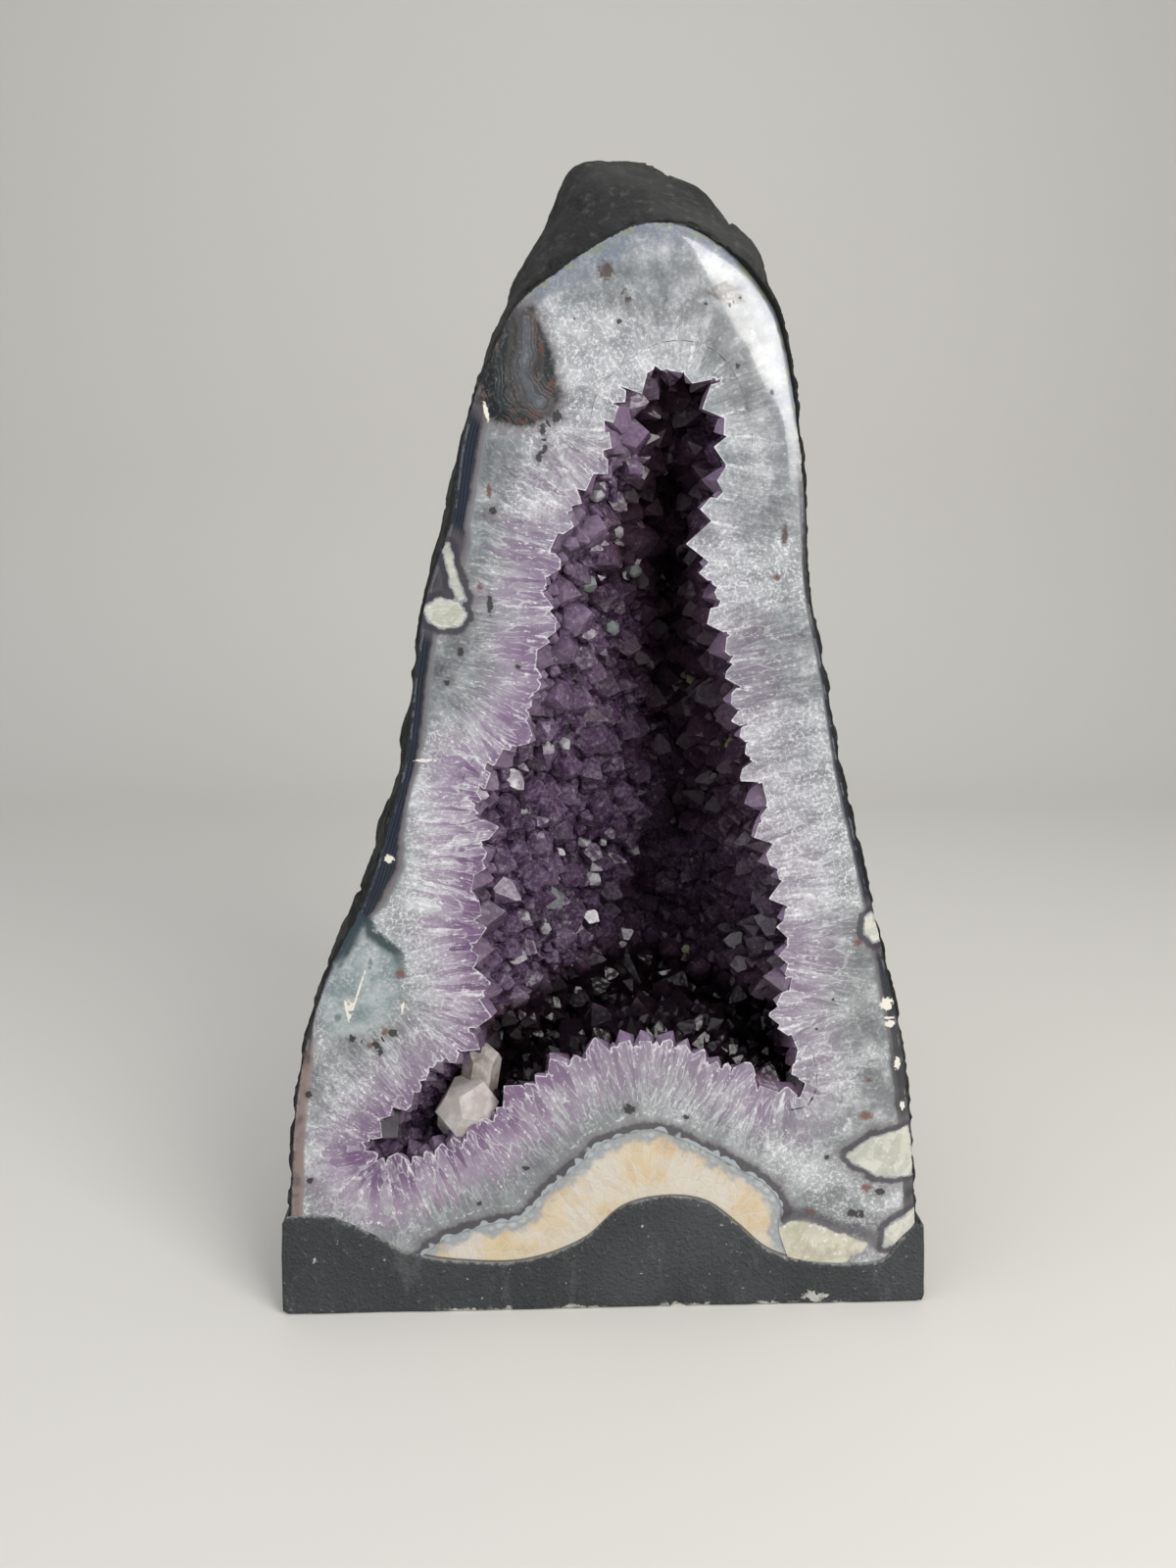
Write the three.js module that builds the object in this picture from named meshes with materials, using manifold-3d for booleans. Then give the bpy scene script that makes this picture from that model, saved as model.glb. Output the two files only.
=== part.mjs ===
// Amethyst geode, sawn open on one side and set on a cast cement base.
// Millimetres, +Z up. The origin is the middle of the flat underside, +Y points to the back,
// and the sawn face looks towards -Y and leans back.

import Module from 'manifold-3d';
import * as THREE from 'three';
import { mergeVertices } from 'three/addons/utils/BufferGeometryUtils.js';

// Driving dimensions
const BASE_WIDTH = 320;
const FACE_HEIGHT = 522;
const OVERALL_HEIGHT = 570;
const FRONT_Y = -118;
const BACK_Y = 122;
const FACE_LEAN = THREE.MathUtils.degToRad(5);
const GAP = 0.3;
const BISECTIONS = 24;
const MERGE_DISTANCE = 1e-4;

// The rock's outline on the sawn face, from the left foot over the top to the right foot
const ROCK_OUTLINE = [
  [-BASE_WIDTH / 2, 0], [-159, 50], [-155, 104], [-148, 142], [-138, 172], [-119, 209], [-108, 240],
  [-97, 280], [-92, 318], [-85, 356], [-74, 388], [-67, 428], [-56, 458], [-42, 485], [-24, 500],
  [-6, 512], [16, FACE_HEIGHT], [38, 521], [58, 511], [73, 497], [84, 477], [91, 440], [95, 398],
  [98, 357], [107, 314], [115, 272], [126, 229], [136, 190], [148, 140], [154, 96], [158, 46],
  [BASE_WIDTH / 2, 0],
];
// Its outline through the crown, where the rock is tallest
const CROWN_OUTLINE = [
  [-158, 0], [-158, 60], [-152, 120], [-137, 180], [-114, 245], [-100, 300], [-90, 350],
  [-78, 400], [-65, 448], [-55, 477], [-45, 503], [-28, 538], [-12, 563], [6, OVERALL_HEIGHT],
  [26, 568], [45, 558], [65, 540], [82, 517], [92, 488], [97, 450], [100, 400], [104, 350],
  [116, 285], [132, 225], [146, 165], [154, 100], [158, 46], [158, 0],
];
const CROWN_DEPTH = 0.42;
const ROCK_COLUMNS = 37;
const ROCK_RINGS = [0, 0.1, 0.26, CROWN_DEPTH, 0.56, 0.7, 0.83, 0.93, 1];
const BURIED_Z = -20;
const ROCK_AXIS_SLOPE = 0.038;

// Behind the crown the rock falls away and narrows
const BACK_HEIGHT_SHARE = 0.56;
const BACK_FALL_POWER = 1.9;
const BACK_NARROWING = 0.72;
const BACK_NARROWING_POWER = 3.4;

// Lumps of the rock: two overlaid waves, each the product of two sines. A sine has its waves'
// steps along x, y and z and its start. The lumps fade out towards the face and the foot.
const LUMP_HEIGHT = 3.5;
const LUMP_CENTRE_Z = 260;
const LUMP_FADE = { depth: 0.25, height: 60 };
const LUMP_WAVES = [
  { share: 1, sines: [[0.061, 0, 0.037, 1.3], [0, 0.052, -0.029, 0]] },
  { share: 0.6, sines: [[0, 0.071, 0.083, 0.7], [0.097, -0.043, 0, 2.1]] },
];

// Rind: thin where the saw and the polisher reached it, thicker behind
const RIND_AT_FACE = 5;
const RIND_AT_BACK = 13;

// The quartz is drawn towards the rock's heart by a small share, to stay clear of the rind
const HEART = new THREE.Vector3(4, -20, 220);
const QUARTZ_SHRINK = 0.003;

// Top edge of the cement along the face, left to right
const CEMENT_EDGE = [
  [-165, 50], [-140, 51], [-119, 42], [-98, 31], [-70, 26], [-40, 26], [-12, 36], [8, 53],
  [30, 58], [50, 55], [66, 43], [82, 29], [105, 22], [138, 22], [150, 34], [165, 46],
];
const CEMENT_BACK_Z = 48;
const CEMENT_CALM = { from: -58, to: 92 };
const CEMENT_PROUD = 2;

// The hollow's edge on the face, at the foot of the last crystals, clockwise from the top
const HOLLOW_EDGE = [
  [27, 462], [50, 457], [62, 428], [56, 396], [52, 365], [61, 335], [68, 300], [76, 262], [87, 222],
  [93, 185], [89, 150], [98, 124], [96, 108], [76, 112], [50, 125], [22, 134], [-10, 127],
  [-40, 110], [-65, 89], [-90, 77], [-114, 70], [-123, 86], [-108, 109], [-88, 125], [-71, 141],
  [-65, 165], [-69, 195], [-63, 225], [-63, 266], [-45, 287], [-35, 310], [-32, 335], [-30, 366],
  [-20, 396], [-3, 418], [2, 444],
];

// The deepest line of the hollow, from the top down: x, z and depth behind the face
const DEEP_LINE = [
  [34, 428, 52], [40, 370, 82], [46, 300, 112], [40, 235, 138], [28, 175, 146], [14, 122, 96],
];
const DEEP_HALF_WIDTH = 12;
const DEEP_SPREAD = 0.09;
const HUMP = { x: 22, halfWidth: 60, rise: 62, below: 150, until: 200 };
const WALL_PROBE = 0.025;
const GENTLE_SIDE = 0.1;
const STEEP_SIDE = 1.1;

// Rounded swellings on the back wall of the hollow: x, z, radius, height
const SWELLINGS = [[6, 243, 30, 20], [40, 196, 24, 16], [-22, 186, 22, 10], [4, 330, 26, 10]];
const SWELLING_FADE = { from: 0.25, to: 0.7 };

// Amethyst crust
const CRUST_THICKNESS = 6;
const CRYSTAL_PITCH = 16;
const CRYSTAL_ROWS = 10;
const CRYSTAL_HEIGHT = { low: 5, high: 11 };
const CRYSTAL_SHORTNESS = 1.6;
const LAST_SHORTNESS = 2;
const DEEP_SHORTENING = 0.35;
const CRYSTAL_SEED = 29;
const CRYSTAL_JITTER = 0.24;
const CRYSTAL_LEAN = 0.5;
const FRONT_REACH = 0.12;
const SMOOTH_COLUMNS = 40;
const SMOOTH_ROWS = 7;

// Calcite seam under the quartz, upper edge from left to right, and how far it runs back
const SEAM_EDGE = [
  [-94, 27], [-80, 38], [-58, 45], [-42, 48], [-30, 61], [-14, 75], [-2, 86], [21, 93], [36, 88],
  [50, 81], [66, 72], [80, 63], [88, 52], [87, 40], [92, 24],
];
const SEAM_POINTS = 26;
const SEAM_DEPTH = 45;
const SEAM_PROUD = 20;
const SEAM_FOOT_Z = 15;

// Calcite crystals on the lip of the hollow: centre, radius, half length, tilt
const CALCITE_CRYSTALS = [
  { at: [-69, -97, 105], radius: 15, half: 19, tilt: [0.25, 0.5, 0.3] },
  { at: [-58, -86, 119], radius: 8.5, half: 19, tilt: [-0.12, 0.2, 0.1] },
  { at: [-81, -91, 98], radius: 7, half: 11, tilt: [0.5, 0.1, -0.6] },
];
const CALCITE_SHOULDER = 0.42;
const CALCITE_SIDES = 6;

// Linear congruential random numbers
const RANDOM = { factor: 1664525, step: 1013904223, size: 2 ** 32 };

const wasm = await Module();
wasm.setup();

// Seeded random numbers, so that the crystals are the same every time
function makeRandom(seed) {
  let state = seed;
  return () => {
    state = (state * RANDOM.factor + RANDOM.step) % RANDOM.size;
    return state / RANDOM.size;
  };
}

// Solids and meshes

function toSolid(geometry) {
  geometry.deleteAttribute('normal');
  geometry.deleteAttribute('uv');
  const merged = mergeVertices(geometry, MERGE_DISTANCE);
  const source = merged.index.array;
  const kept = [];
  for (let i = 0; i < source.length; i += 3) {
    const [a, b, c] = [source[i], source[i + 1], source[i + 2]];
    if (a !== b && b !== c && c !== a) kept.push(a, b, c);
  }
  return new wasm.Manifold(new wasm.Mesh({
    numProp: 3,
    vertProperties: new Float32Array(merged.attributes.position.array),
    triVerts: new Uint32Array(kept),
  }));
}

function toMesh(name, solid, look) {
  const { vertProperties, triVerts } = solid.getMesh();
  const geometry = new THREE.BufferGeometry();
  geometry.setAttribute('position', new THREE.BufferAttribute(new Float32Array(vertProperties), 3));
  geometry.setIndex(new THREE.BufferAttribute(new Uint32Array(triVerts), 1));
  geometry.computeVertexNormals();
  const mesh = new THREE.Mesh(geometry, new THREE.MeshStandardMaterial(look));
  mesh.name = name;
  return mesh;
}

// Triangles that fill a nearly flat ring, counter-clockwise as seen from the front
function fillFlat(ring) {
  return THREE.ShapeUtils.triangulateShape(ring.map((p) => new THREE.Vector2(p.x, p.z)), []);
}

// Triangles that close a long narrow ring with rungs from side to side, starting at its top
function fillWithRungs(ring) {
  let [left, right] = [1, ring.length - 1];
  const triangles = [[0, left, right]];
  while (right - left > 1) {
    triangles.push([left, left + 1, right]);
    left += 1;
    if (right - left > 1) {
      triangles.push([left, right - 1, right]);
      right -= 1;
    }
  }
  return triangles;
}

// Closed skin from side triangles and the triangles over its front ring and its back ring
function closeRings([front, back], otherPoints, sideTriangles, fillBack) {
  const triangles = [...sideTriangles, ...fillFlat(front)];
  for (const [a, b, c] of fillBack(back)) {
    triangles.push([a, c, b].map((corner) => corner + front.length));
  }
  const geometry = new THREE.BufferGeometry().setFromPoints([...front, ...back, ...otherPoints]);
  geometry.setIndex(triangles.flat());
  return toSolid(geometry);
}

// Skin over a stack of rings with the same number of points, front ring first
function loft(rings, fillBack) {
  const count = rings[0].length;
  const inner = rings.slice(1, -1).flat();
  const indexOf = (ring, i) => {
    if (ring === 0) return i;
    if (ring === rings.length - 1) return count + i;
    return count * (ring + 1) + i;
  };
  const sides = [];
  for (let r = 0; r + 1 < rings.length; r += 1) {
    for (let i = 0; i < count; i += 1) {
      const next = (i + 1) % count;
      sides.push([indexOf(r, i), indexOf(r + 1, i), indexOf(r, next)]);
      sides.push([indexOf(r, next), indexOf(r + 1, i), indexOf(r + 1, next)]);
    }
  }
  return closeRings([rings[0], rings.at(-1)], inner, sides, fillBack);
}

// The sawn face

const faceY = (z) => FRONT_Y + z * Math.tan(FACE_LEAN);

// Everything above the floor
function aboveFloor() {
  const [width, height] = [500, 200];
  return toSolid(new THREE.BoxGeometry(width, width, height).translate(0, 0, height / 2));
}

// Everything in front of the sawn face, moved towards the viewer by the given distance
function inFrontOfFace(forward = 0) {
  const [width, thickness, height] = [500, 200, 1500];
  const block = new THREE.BoxGeometry(width, thickness, height);
  block.translate(0, -thickness / 2 - forward, 0);
  block.rotateX(-FACE_LEAN);
  block.translate(0, FRONT_Y, 0);
  return toSolid(block);
}

// The rock

const rockAxisX = (z) => ROCK_AXIS_SLOPE * z;

function rockLump(x, y, z) {
  const wave = ([alongX, alongY, alongZ, start]) => Math.sin(x * alongX + y * alongY + z * alongZ + start);
  return LUMP_WAVES.reduce((sum, { share, sines: [one, other] }) => sum + share * wave(one) * wave(other), 0);
}

const curveThrough = (points) => new THREE.SplineCurve(points.map(([x, z]) => new THREE.Vector2(x, z)));
const faceArch = curveThrough(ROCK_OUTLINE);
const crownArch = curveThrough(CROWN_OUTLINE);

// A point of an outline, drawn in by the given thickness
function archPoint(arch, share, inset) {
  const point = arch.getPointAt(share);
  const along = arch.getTangentAt(share);
  return new THREE.Vector2(point.x + along.y * inset, Math.max(0, point.y - along.x * inset));
}

// One ring of the rock at depth share t, from the face (0) to the back (1)
function rockRing(t, inset) {
  const depth = Math.max(0, t);
  const rise = Math.sin((Math.PI / 2) * Math.min(1, depth / CROWN_DEPTH));
  const fall = Math.max(0, (depth - CROWN_DEPTH) / (1 - CROWN_DEPTH)) ** BACK_FALL_POWER;
  const narrow = Math.sqrt(1 - BACK_NARROWING * depth ** BACK_NARROWING_POWER);
  const low = 1 - (1 - BACK_HEIGHT_SHARE) * fall;
  const ring = [];
  for (let i = 0; i <= ROCK_COLUMNS; i += 1) {
    const share = i / ROCK_COLUMNS;
    const point = archPoint(faceArch, share, inset).lerp(archPoint(crownArch, share, inset), rise);
    const axis = rockAxisX(point.y);
    const x = axis + (point.x - axis) * narrow;
    const z = point.y * low;
    const y = THREE.MathUtils.lerp(faceY(z), BACK_Y, t);
    const fade = Math.min(1, depth / LUMP_FADE.depth) * Math.min(1, point.y / LUMP_FADE.height);
    const lump = rockLump(x, y, z) * LUMP_HEIGHT * fade;
    const outward = new THREE.Vector3(x - axis, 0, Math.max(0, z - LUMP_CENTRE_Z * low));
    ring.push(new THREE.Vector3(x, y, z).addScaledVector(outward.normalize(), lump));
  }
  const [first, last] = [ring[0], ring.at(-1)];
  ring.unshift(new THREE.Vector3(first.x, first.y, BURIED_Z));
  ring.push(new THREE.Vector3(last.x, last.y, BURIED_Z));
  return ring.reverse();
}

// The rock's solid, drawn in by its rind or not, and drawn towards its heart by a small share
function rockSolid(insetAtFace, insetAtBack, shrink = 0) {
  const rings = [rockRing(-FRONT_REACH, insetAtFace)];
  const reach = 1 - insetAtBack / (BACK_Y - FRONT_Y);
  for (const t of ROCK_RINGS) {
    rings.push(rockRing(t * reach, THREE.MathUtils.lerp(insetAtFace, insetAtBack, Math.sqrt(t))));
  }
  rings.flat().forEach((point) => point.lerp(HEART, shrink));
  return loft(rings, fillFlat);
}

// The point of a curve where a measure that only grows along it reaches the target
function pointWhere(curve, measure, target) {
  let [low, high] = [0, 1];
  for (let step = 0; step < BISECTIONS; step += 1) {
    const middle = (low + high) / 2;
    if (measure(curve.getPoint(middle)) < target) low = middle;
    else high = middle;
  }
  return curve.getPoint((low + high) / 2);
}

// The cement's top: the waves of the face's edge die out towards the back

const cementEdge = curveThrough(CEMENT_EDGE);

function cementTop(x, y) {
  const edge = pointWhere(cementEdge, (point) => point.x, x);
  const calm = THREE.MathUtils.smoothstep(y, CEMENT_CALM.from, CEMENT_CALM.to);
  return THREE.MathUtils.lerp(edge.y, CEMENT_BACK_Z, calm);
}

// Everything from below the floor up to the cement's top, or a little above it
function underCementTop(lift) {
  const [width, depth, height] = [360, 300, 80];
  const [columns, rows] = [30, 5];
  const block = new THREE.BoxGeometry(width, depth, height, columns, rows, 1);
  const { position } = block.attributes;
  for (let i = 0; i < position.count; i += 1) {
    const [x, y] = [position.getX(i), position.getY(i)];
    position.setZ(i, position.getZ(i) > 0 ? cementTop(x, y) + lift : BURIED_Z * 2);
  }
  return toSolid(block);
}

// The hollow

const hollowEdge = new THREE.CatmullRomCurve3(
  HOLLOW_EDGE.map(([x, z]) => new THREE.Vector3(x, 0, z)), true, 'centripetal',
);
const deepLine = new THREE.CatmullRomCurve3(DEEP_LINE.map(([x, z, depth]) => new THREE.Vector3(x, depth, z)));

function swelling(x, z) {
  return SWELLINGS.reduce((sum, [sx, sz, radius, height]) => {
    const away = ((x - sx) ** 2 + (z - sz) ** 2) / radius ** 2;
    return sum + height * Math.exp(-away);
  }, 0);
}

// The floor drops behind the hump, by as much as the hump rises on the face
function humpRise(x, z) {
  const low = 1 - THREE.MathUtils.smoothstep(z, HUMP.below, HUMP.until);
  return HUMP.rise * low * Math.exp(-(((x - HUMP.x) / HUMP.halfWidth) ** 2));
}

// A point of the hollow's wall: share goes round its edge, s from the face (0) to the deep line (1)
function wallPoint(share, s) {
  const around = ((share % 1) + 1) % 1;
  const edge = hollowEdge.getPointAt(around);
  const sunkZ = edge.z - humpRise(edge.x, edge.z);
  const deep = pointWhere(deepLine, (point) => -point.z, -sunkZ);
  const offset = new THREE.Vector2(edge.x - deep.x, sunkZ - deep.z);
  const distance = offset.length();
  const steep = THREE.MathUtils.lerp(GENTLE_SIDE, STEEP_SIDE, (1 + offset.x / distance) / 2);
  offset.setLength(Math.max(DEEP_HALF_WIDTH, DEEP_SPREAD * distance));
  const inward = Math.max(0, s);
  const x = THREE.MathUtils.lerp(edge.x, deep.x + offset.x, inward ** (1 + steep));
  const z = THREE.MathUtils.lerp(edge.z, deep.z + offset.y, inward ** (1 + steep));
  const depth = deep.y * (s < 0 ? s : inward ** (1 / (1 + steep)));
  const push = swelling(x, z) * THREE.MathUtils.smoothstep(inward, SWELLING_FADE.from, SWELLING_FADE.to);
  return new THREE.Vector3(x, faceY(z) + depth - push, z);
}

// Direction from the wall into the open hollow
function wallNormal(share, s) {
  const round = wallPoint(share + WALL_PROBE, s).sub(wallPoint(share - WALL_PROBE, s));
  const inward = wallPoint(share, s + WALL_PROBE).sub(wallPoint(share, s - WALL_PROBE));
  return inward.cross(round).normalize();
}

// The hollow without its crystals, wider all round by the given distance
function smoothHollow(grow) {
  const ringAt = (s, distance) => Array.from({ length: SMOOTH_COLUMNS }, (_, i) => {
    const share = -i / SMOOTH_COLUMNS;
    const point = wallPoint(share, s).addScaledVector(wallNormal(share, s), -distance);
    if (s === 1) point.y += distance;
    return point;
  });
  const rings = [ringAt(-FRONT_REACH * 2, grow)];
  for (let r = 0; r <= SMOOTH_ROWS; r += 1) rings.push(ringAt(r / SMOOTH_ROWS, grow));
  return loft(rings, fillWithRungs);
}

// The crystals: a honeycomb laid over the hollow's wall, with a point on every cell

const crystalHeight = (share) => THREE.MathUtils.lerp(CRYSTAL_HEIGHT.low, CRYSTAL_HEIGHT.high, share);

// The foot and the tip of one crystal per cell. The first and the last row stay flat.
function plantCrystals(columns, random) {
  const rowStep = (1 + FRONT_REACH) / CRYSTAL_ROWS;
  const crystals = [];
  for (let row = 0; row <= CRYSTAL_ROWS; row += 1) {
    const flat = row === 0 || row === CRYSTAL_ROWS;
    for (let i = 0; i < columns; i += 1) {
      const jitter = flat ? 0 : CRYSTAL_JITTER;
      const column = i + (row % 2) / 2 + (random() * 2 - 1) * jitter;
      const s = -FRONT_REACH + rowStep * (row + (random() * 2 - 1) * jitter);
      const foot = wallPoint(-column / columns, s);
      const normal = wallNormal(-column / columns, s);
      const height = crystalHeight(random() ** CRYSTAL_SHORTNESS) * (1 - DEEP_SHORTENING * Math.max(0, s));
      const lean = new THREE.Vector3(random() - 0.5, random() - 0.5, random() - 0.5);
      const axis = normal.addScaledVector(lean, CRYSTAL_LEAN).normalize();
      crystals.push({ foot, tip: foot.clone().addScaledVector(axis, flat ? 0 : height) });
    }
  }
  return crystals;
}

// The triangles between neighbouring crystals, whose middles are the valleys between them
function neighbourTriangles(columns) {
  const at = (row, i) => row * columns + ((i + columns) % columns);
  const triangles = [];
  for (let row = 0; row < CRYSTAL_ROWS; row += 1) {
    for (let i = 0; i < columns; i += 1) {
      if (row % 2 === 0) {
        triangles.push([at(row, i), at(row + 1, i), at(row, i + 1)]);
        triangles.push([at(row, i + 1), at(row + 1, i), at(row + 1, i + 1)]);
      } else {
        triangles.push([at(row, i), at(row + 1, i + 1), at(row, i + 1)]);
        triangles.push([at(row, i), at(row + 1, i), at(row + 1, i + 1)]);
      }
    }
  }
  return triangles;
}

// Each pair of neighbours a, b with the valleys beside it
function neighbourPairs(triangles) {
  const pairs = new Map();
  triangles.forEach((corners, valley) => corners.forEach((a, k) => {
    const b = corners[(k + 1) % 3];
    const key = a < b ? `${a} ${b}` : `${b} ${a}`;
    if (!pairs.has(key)) pairs.set(key, { a, b, valleys: [] });
    pairs.get(key).valleys.push(valley);
  }));
  return [...pairs.values()];
}

// The hollow as the crystals leave it open
function crystalHollow() {
  const random = makeRandom(CRYSTAL_SEED);
  const columns = Math.round(hollowEdge.getLength() / CRYSTAL_PITCH);
  const crystals = plantCrystals(columns, random);
  const triangles = neighbourTriangles(columns);
  const middleOf = (points) => new THREE.Vector3()
    .addVectors(points[0], points[1]).add(points[2]).divideScalar(3);

  const tips = crystals.map(({ tip }) => tip);
  const [first, last] = [tips.slice(0, columns), tips.slice(-columns)];
  const valleys = triangles.map((corners) => middleOf(corners.map((k) => crystals[k].foot)));
  const rungs = fillWithRungs(last);
  const ends = rungs.map((corners) => {
    const end = middleOf(corners.map((k) => last[k]));
    end.y -= crystalHeight(random() ** LAST_SHORTNESS);
    return end;
  });
  const others = [...tips.slice(columns, -columns), ...valleys, ...ends];

  const tipIndex = (k) => {
    if (k < columns) return k;
    return k < columns * CRYSTAL_ROWS ? k + columns : k - columns * (CRYSTAL_ROWS - 1);
  };
  const sides = neighbourPairs(triangles).flatMap(({ a, b, valleys: [one, two] }) => {
    const [tipA, tipB, valleyA] = [tipIndex(a), tipIndex(b), tips.length + one];
    if (two === undefined) return [[tipA, tipB, valleyA]];
    return [[tipA, tips.length + two, valleyA], [tipB, valleyA, tips.length + two]];
  });
  const fillWithTips = () => rungs.flatMap(([a, b, c], k) => {
    const tip = columns + others.length - ends.length + k;
    return [[a, b, tip], [b, c, tip], [c, a, tip]];
  });
  return closeRings([first, last], others, sides, fillWithTips);
}

// Calcite

function calciteCrystal({ at, radius, half, tilt }, grow) {
  const [r, h] = [radius + grow, half + grow];
  const profile = [[0, -h], [r, -h * CALCITE_SHOULDER], [r, h * CALCITE_SHOULDER], [0, h]];
  const crystal = new THREE.LatheGeometry(profile.map(([x, y]) => new THREE.Vector2(x, y)), CALCITE_SIDES);
  crystal.rotateX(Math.PI / 2);
  crystal.applyMatrix4(new THREE.Matrix4().makeRotationFromEuler(new THREE.Euler(...tilt)));
  crystal.translate(...at);
  return toSolid(crystal);
}

function calciteCluster(grow) {
  const [first, ...others] = CALCITE_CRYSTALS.map((crystal) => calciteCrystal(crystal, grow));
  return others.reduce((cluster, crystal) => cluster.add(crystal), first);
}

function calciteSeam(grow) {
  const shape = new THREE.Shape(curveThrough(SEAM_EDGE).getSpacedPoints(SEAM_POINTS));
  shape.lineTo(SEAM_EDGE.at(-1)[0], SEAM_FOOT_Z);
  shape.lineTo(SEAM_EDGE[0][0], SEAM_FOOT_Z);
  const length = SEAM_PROUD + SEAM_DEPTH + grow;
  const widened = { bevelEnabled: grow > 0, bevelSize: grow, bevelThickness: grow, bevelSegments: 1 };
  const seam = new THREE.ExtrudeGeometry(shape, { depth: length, ...widened });
  seam.rotateX(Math.PI / 2);
  seam.translate(0, FRONT_Y - SEAM_PROUD + length, 0);
  return toSolid(seam);
}

// Assembly

const sawn = inFrontOfFace();
const cementCut = underCementTop(GAP);
const rockOutside = rockSolid(0, 0);
const rindInside = rockSolid(RIND_AT_FACE, RIND_AT_BACK);
const quartzOutside = rockSolid(RIND_AT_FACE, RIND_AT_BACK, QUARTZ_SHRINK);
const hollow = smoothHollow(CRUST_THICKNESS);
const crustOutside = smoothHollow(CRUST_THICKNESS - GAP);

const cement = rockSolid(-CEMENT_PROUD, -CEMENT_PROUD)
  .intersect(underCementTop(0))
  .intersect(aboveFloor())
  .subtract(inFrontOfFace(CEMENT_PROUD));
const rind = rockOutside.subtract(rindInside).subtract(sawn).subtract(cementCut);
const quartz = quartzOutside
  .subtract(hollow)
  .subtract(calciteSeam(GAP))
  .subtract(calciteCluster(GAP))
  .subtract(sawn)
  .subtract(cementCut);
const crust = crustOutside.subtract(crystalHollow()).subtract(calciteCluster(GAP)).subtract(sawn);
const seam = calciteSeam(0).subtract(sawn).subtract(cementCut);

const group = new THREE.Group();
group.add(
  toMesh('cement_base', cement, { color: 0x34383a, roughness: 0.92, metalness: 0 }),
  toMesh('basalt_rind', rind, { color: 0x26292a, roughness: 0.88, metalness: 0 }),
  toMesh('quartz_wall', quartz, { color: 0xbfc0c8, roughness: 0.18, metalness: 0 }),
  toMesh('amethyst_crust', crust, { color: 0x6a4a8c, roughness: 0.1, metalness: 0 }),
  toMesh('calcite_seam', seam, { color: 0xe6cfae, roughness: 0.25, metalness: 0 }),
  toMesh('calcite_crystals', calciteCluster(0), { color: 0xcfc6c6, roughness: 0.3, metalness: 0 }),
);

export default group;
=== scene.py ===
"""Amethyst geode, sawn open, polished and set on a cast cement base.

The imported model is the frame. Each of its nodes gets a finer piece in its place. Sizes and
places are in millimetres in the row frame, and go into the meshes in metres.
"""

from __future__ import annotations

import itertools
import logging
import math
from contextlib import contextmanager
from dataclasses import dataclass, field
from enum import Enum
from typing import Callable, Iterable, Iterator, Sequence

import bmesh
import bpy
import numpy as np
from mathutils import Matrix, Vector
from mathutils.geometry import delaunay_2d_cdt
from mathutils.kdtree import KDTree

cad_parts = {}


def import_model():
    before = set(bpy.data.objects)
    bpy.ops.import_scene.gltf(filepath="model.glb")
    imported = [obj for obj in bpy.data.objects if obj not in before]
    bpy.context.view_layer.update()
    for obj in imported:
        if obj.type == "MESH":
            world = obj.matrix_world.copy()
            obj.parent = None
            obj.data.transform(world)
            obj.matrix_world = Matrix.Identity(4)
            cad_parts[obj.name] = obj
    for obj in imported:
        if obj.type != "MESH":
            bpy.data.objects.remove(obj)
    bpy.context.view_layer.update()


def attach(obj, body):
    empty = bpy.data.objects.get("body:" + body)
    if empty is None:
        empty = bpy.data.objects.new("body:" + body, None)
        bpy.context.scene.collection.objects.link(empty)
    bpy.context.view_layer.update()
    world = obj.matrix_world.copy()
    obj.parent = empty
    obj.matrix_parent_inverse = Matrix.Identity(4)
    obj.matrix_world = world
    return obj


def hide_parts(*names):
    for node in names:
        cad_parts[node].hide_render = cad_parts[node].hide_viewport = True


log = logging.getLogger("geode")

METRES = 0.001
BLOCK = 2000

Array = np.ndarray
Piece = bpy.types.Object
Pair = tuple[float, float]
Triple = tuple[float, float, float]
Outline = tuple[Pair, ...]
Spots = tuple[Triple, ...]


class Slot(Enum):
    """The material slots of the record."""

    CEMENT = "cement"
    BASALT = "basalt"
    QUARTZ = "quartz"
    AMETHYST = "amethyst"
    CALCITE_CREAM = "calcite_cream"
    CALCITE_CLEAR = "calcite_clear"


# Small helpers on arrays


def lerp(a: Array | float, b: Array | float, share: Array | float) -> Array:
    """Goes from a to b by the given share."""
    return a + (b - a) * share


def smoothstep(value: Array | float, low: float, high: float) -> Array:
    """Rises smoothly from 0 at low to 1 at high."""
    t = np.clip((np.asarray(value, float) - low) / (high - low), 0.0, 1.0)
    return t * t * (3.0 - 2.0 * t)


def unit(vectors: Array) -> Array:
    """Scales each vector to length 1."""
    return vectors / np.maximum(np.linalg.norm(vectors, axis=-1, keepdims=True), 1e-9)


def lattice_hash(cells: Array, seed: int) -> Array:
    """Gives each lattice cell its own number between 0 and 1.

    Args:
        cells: Whole-number places, shape (n, 3).
        seed: Picks the set of numbers.

    Returns:
        One number for each cell.
    """
    mixed = (cells[:, 0] * 73856093) ^ (cells[:, 1] * 19349663) ^ (cells[:, 2] * 83492791)
    mixed = (mixed ^ (seed * 2654435761)) & 0xFFFFFFFF
    mixed = ((mixed ^ (mixed >> 15)) * 2246822519) & 0xFFFFFFFF
    mixed = ((mixed ^ (mixed >> 13)) * 3266489917) & 0xFFFFFFFF
    return ((mixed ^ (mixed >> 16)) & 0xFFFFFF) / float(0xFFFFFF)


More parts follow.
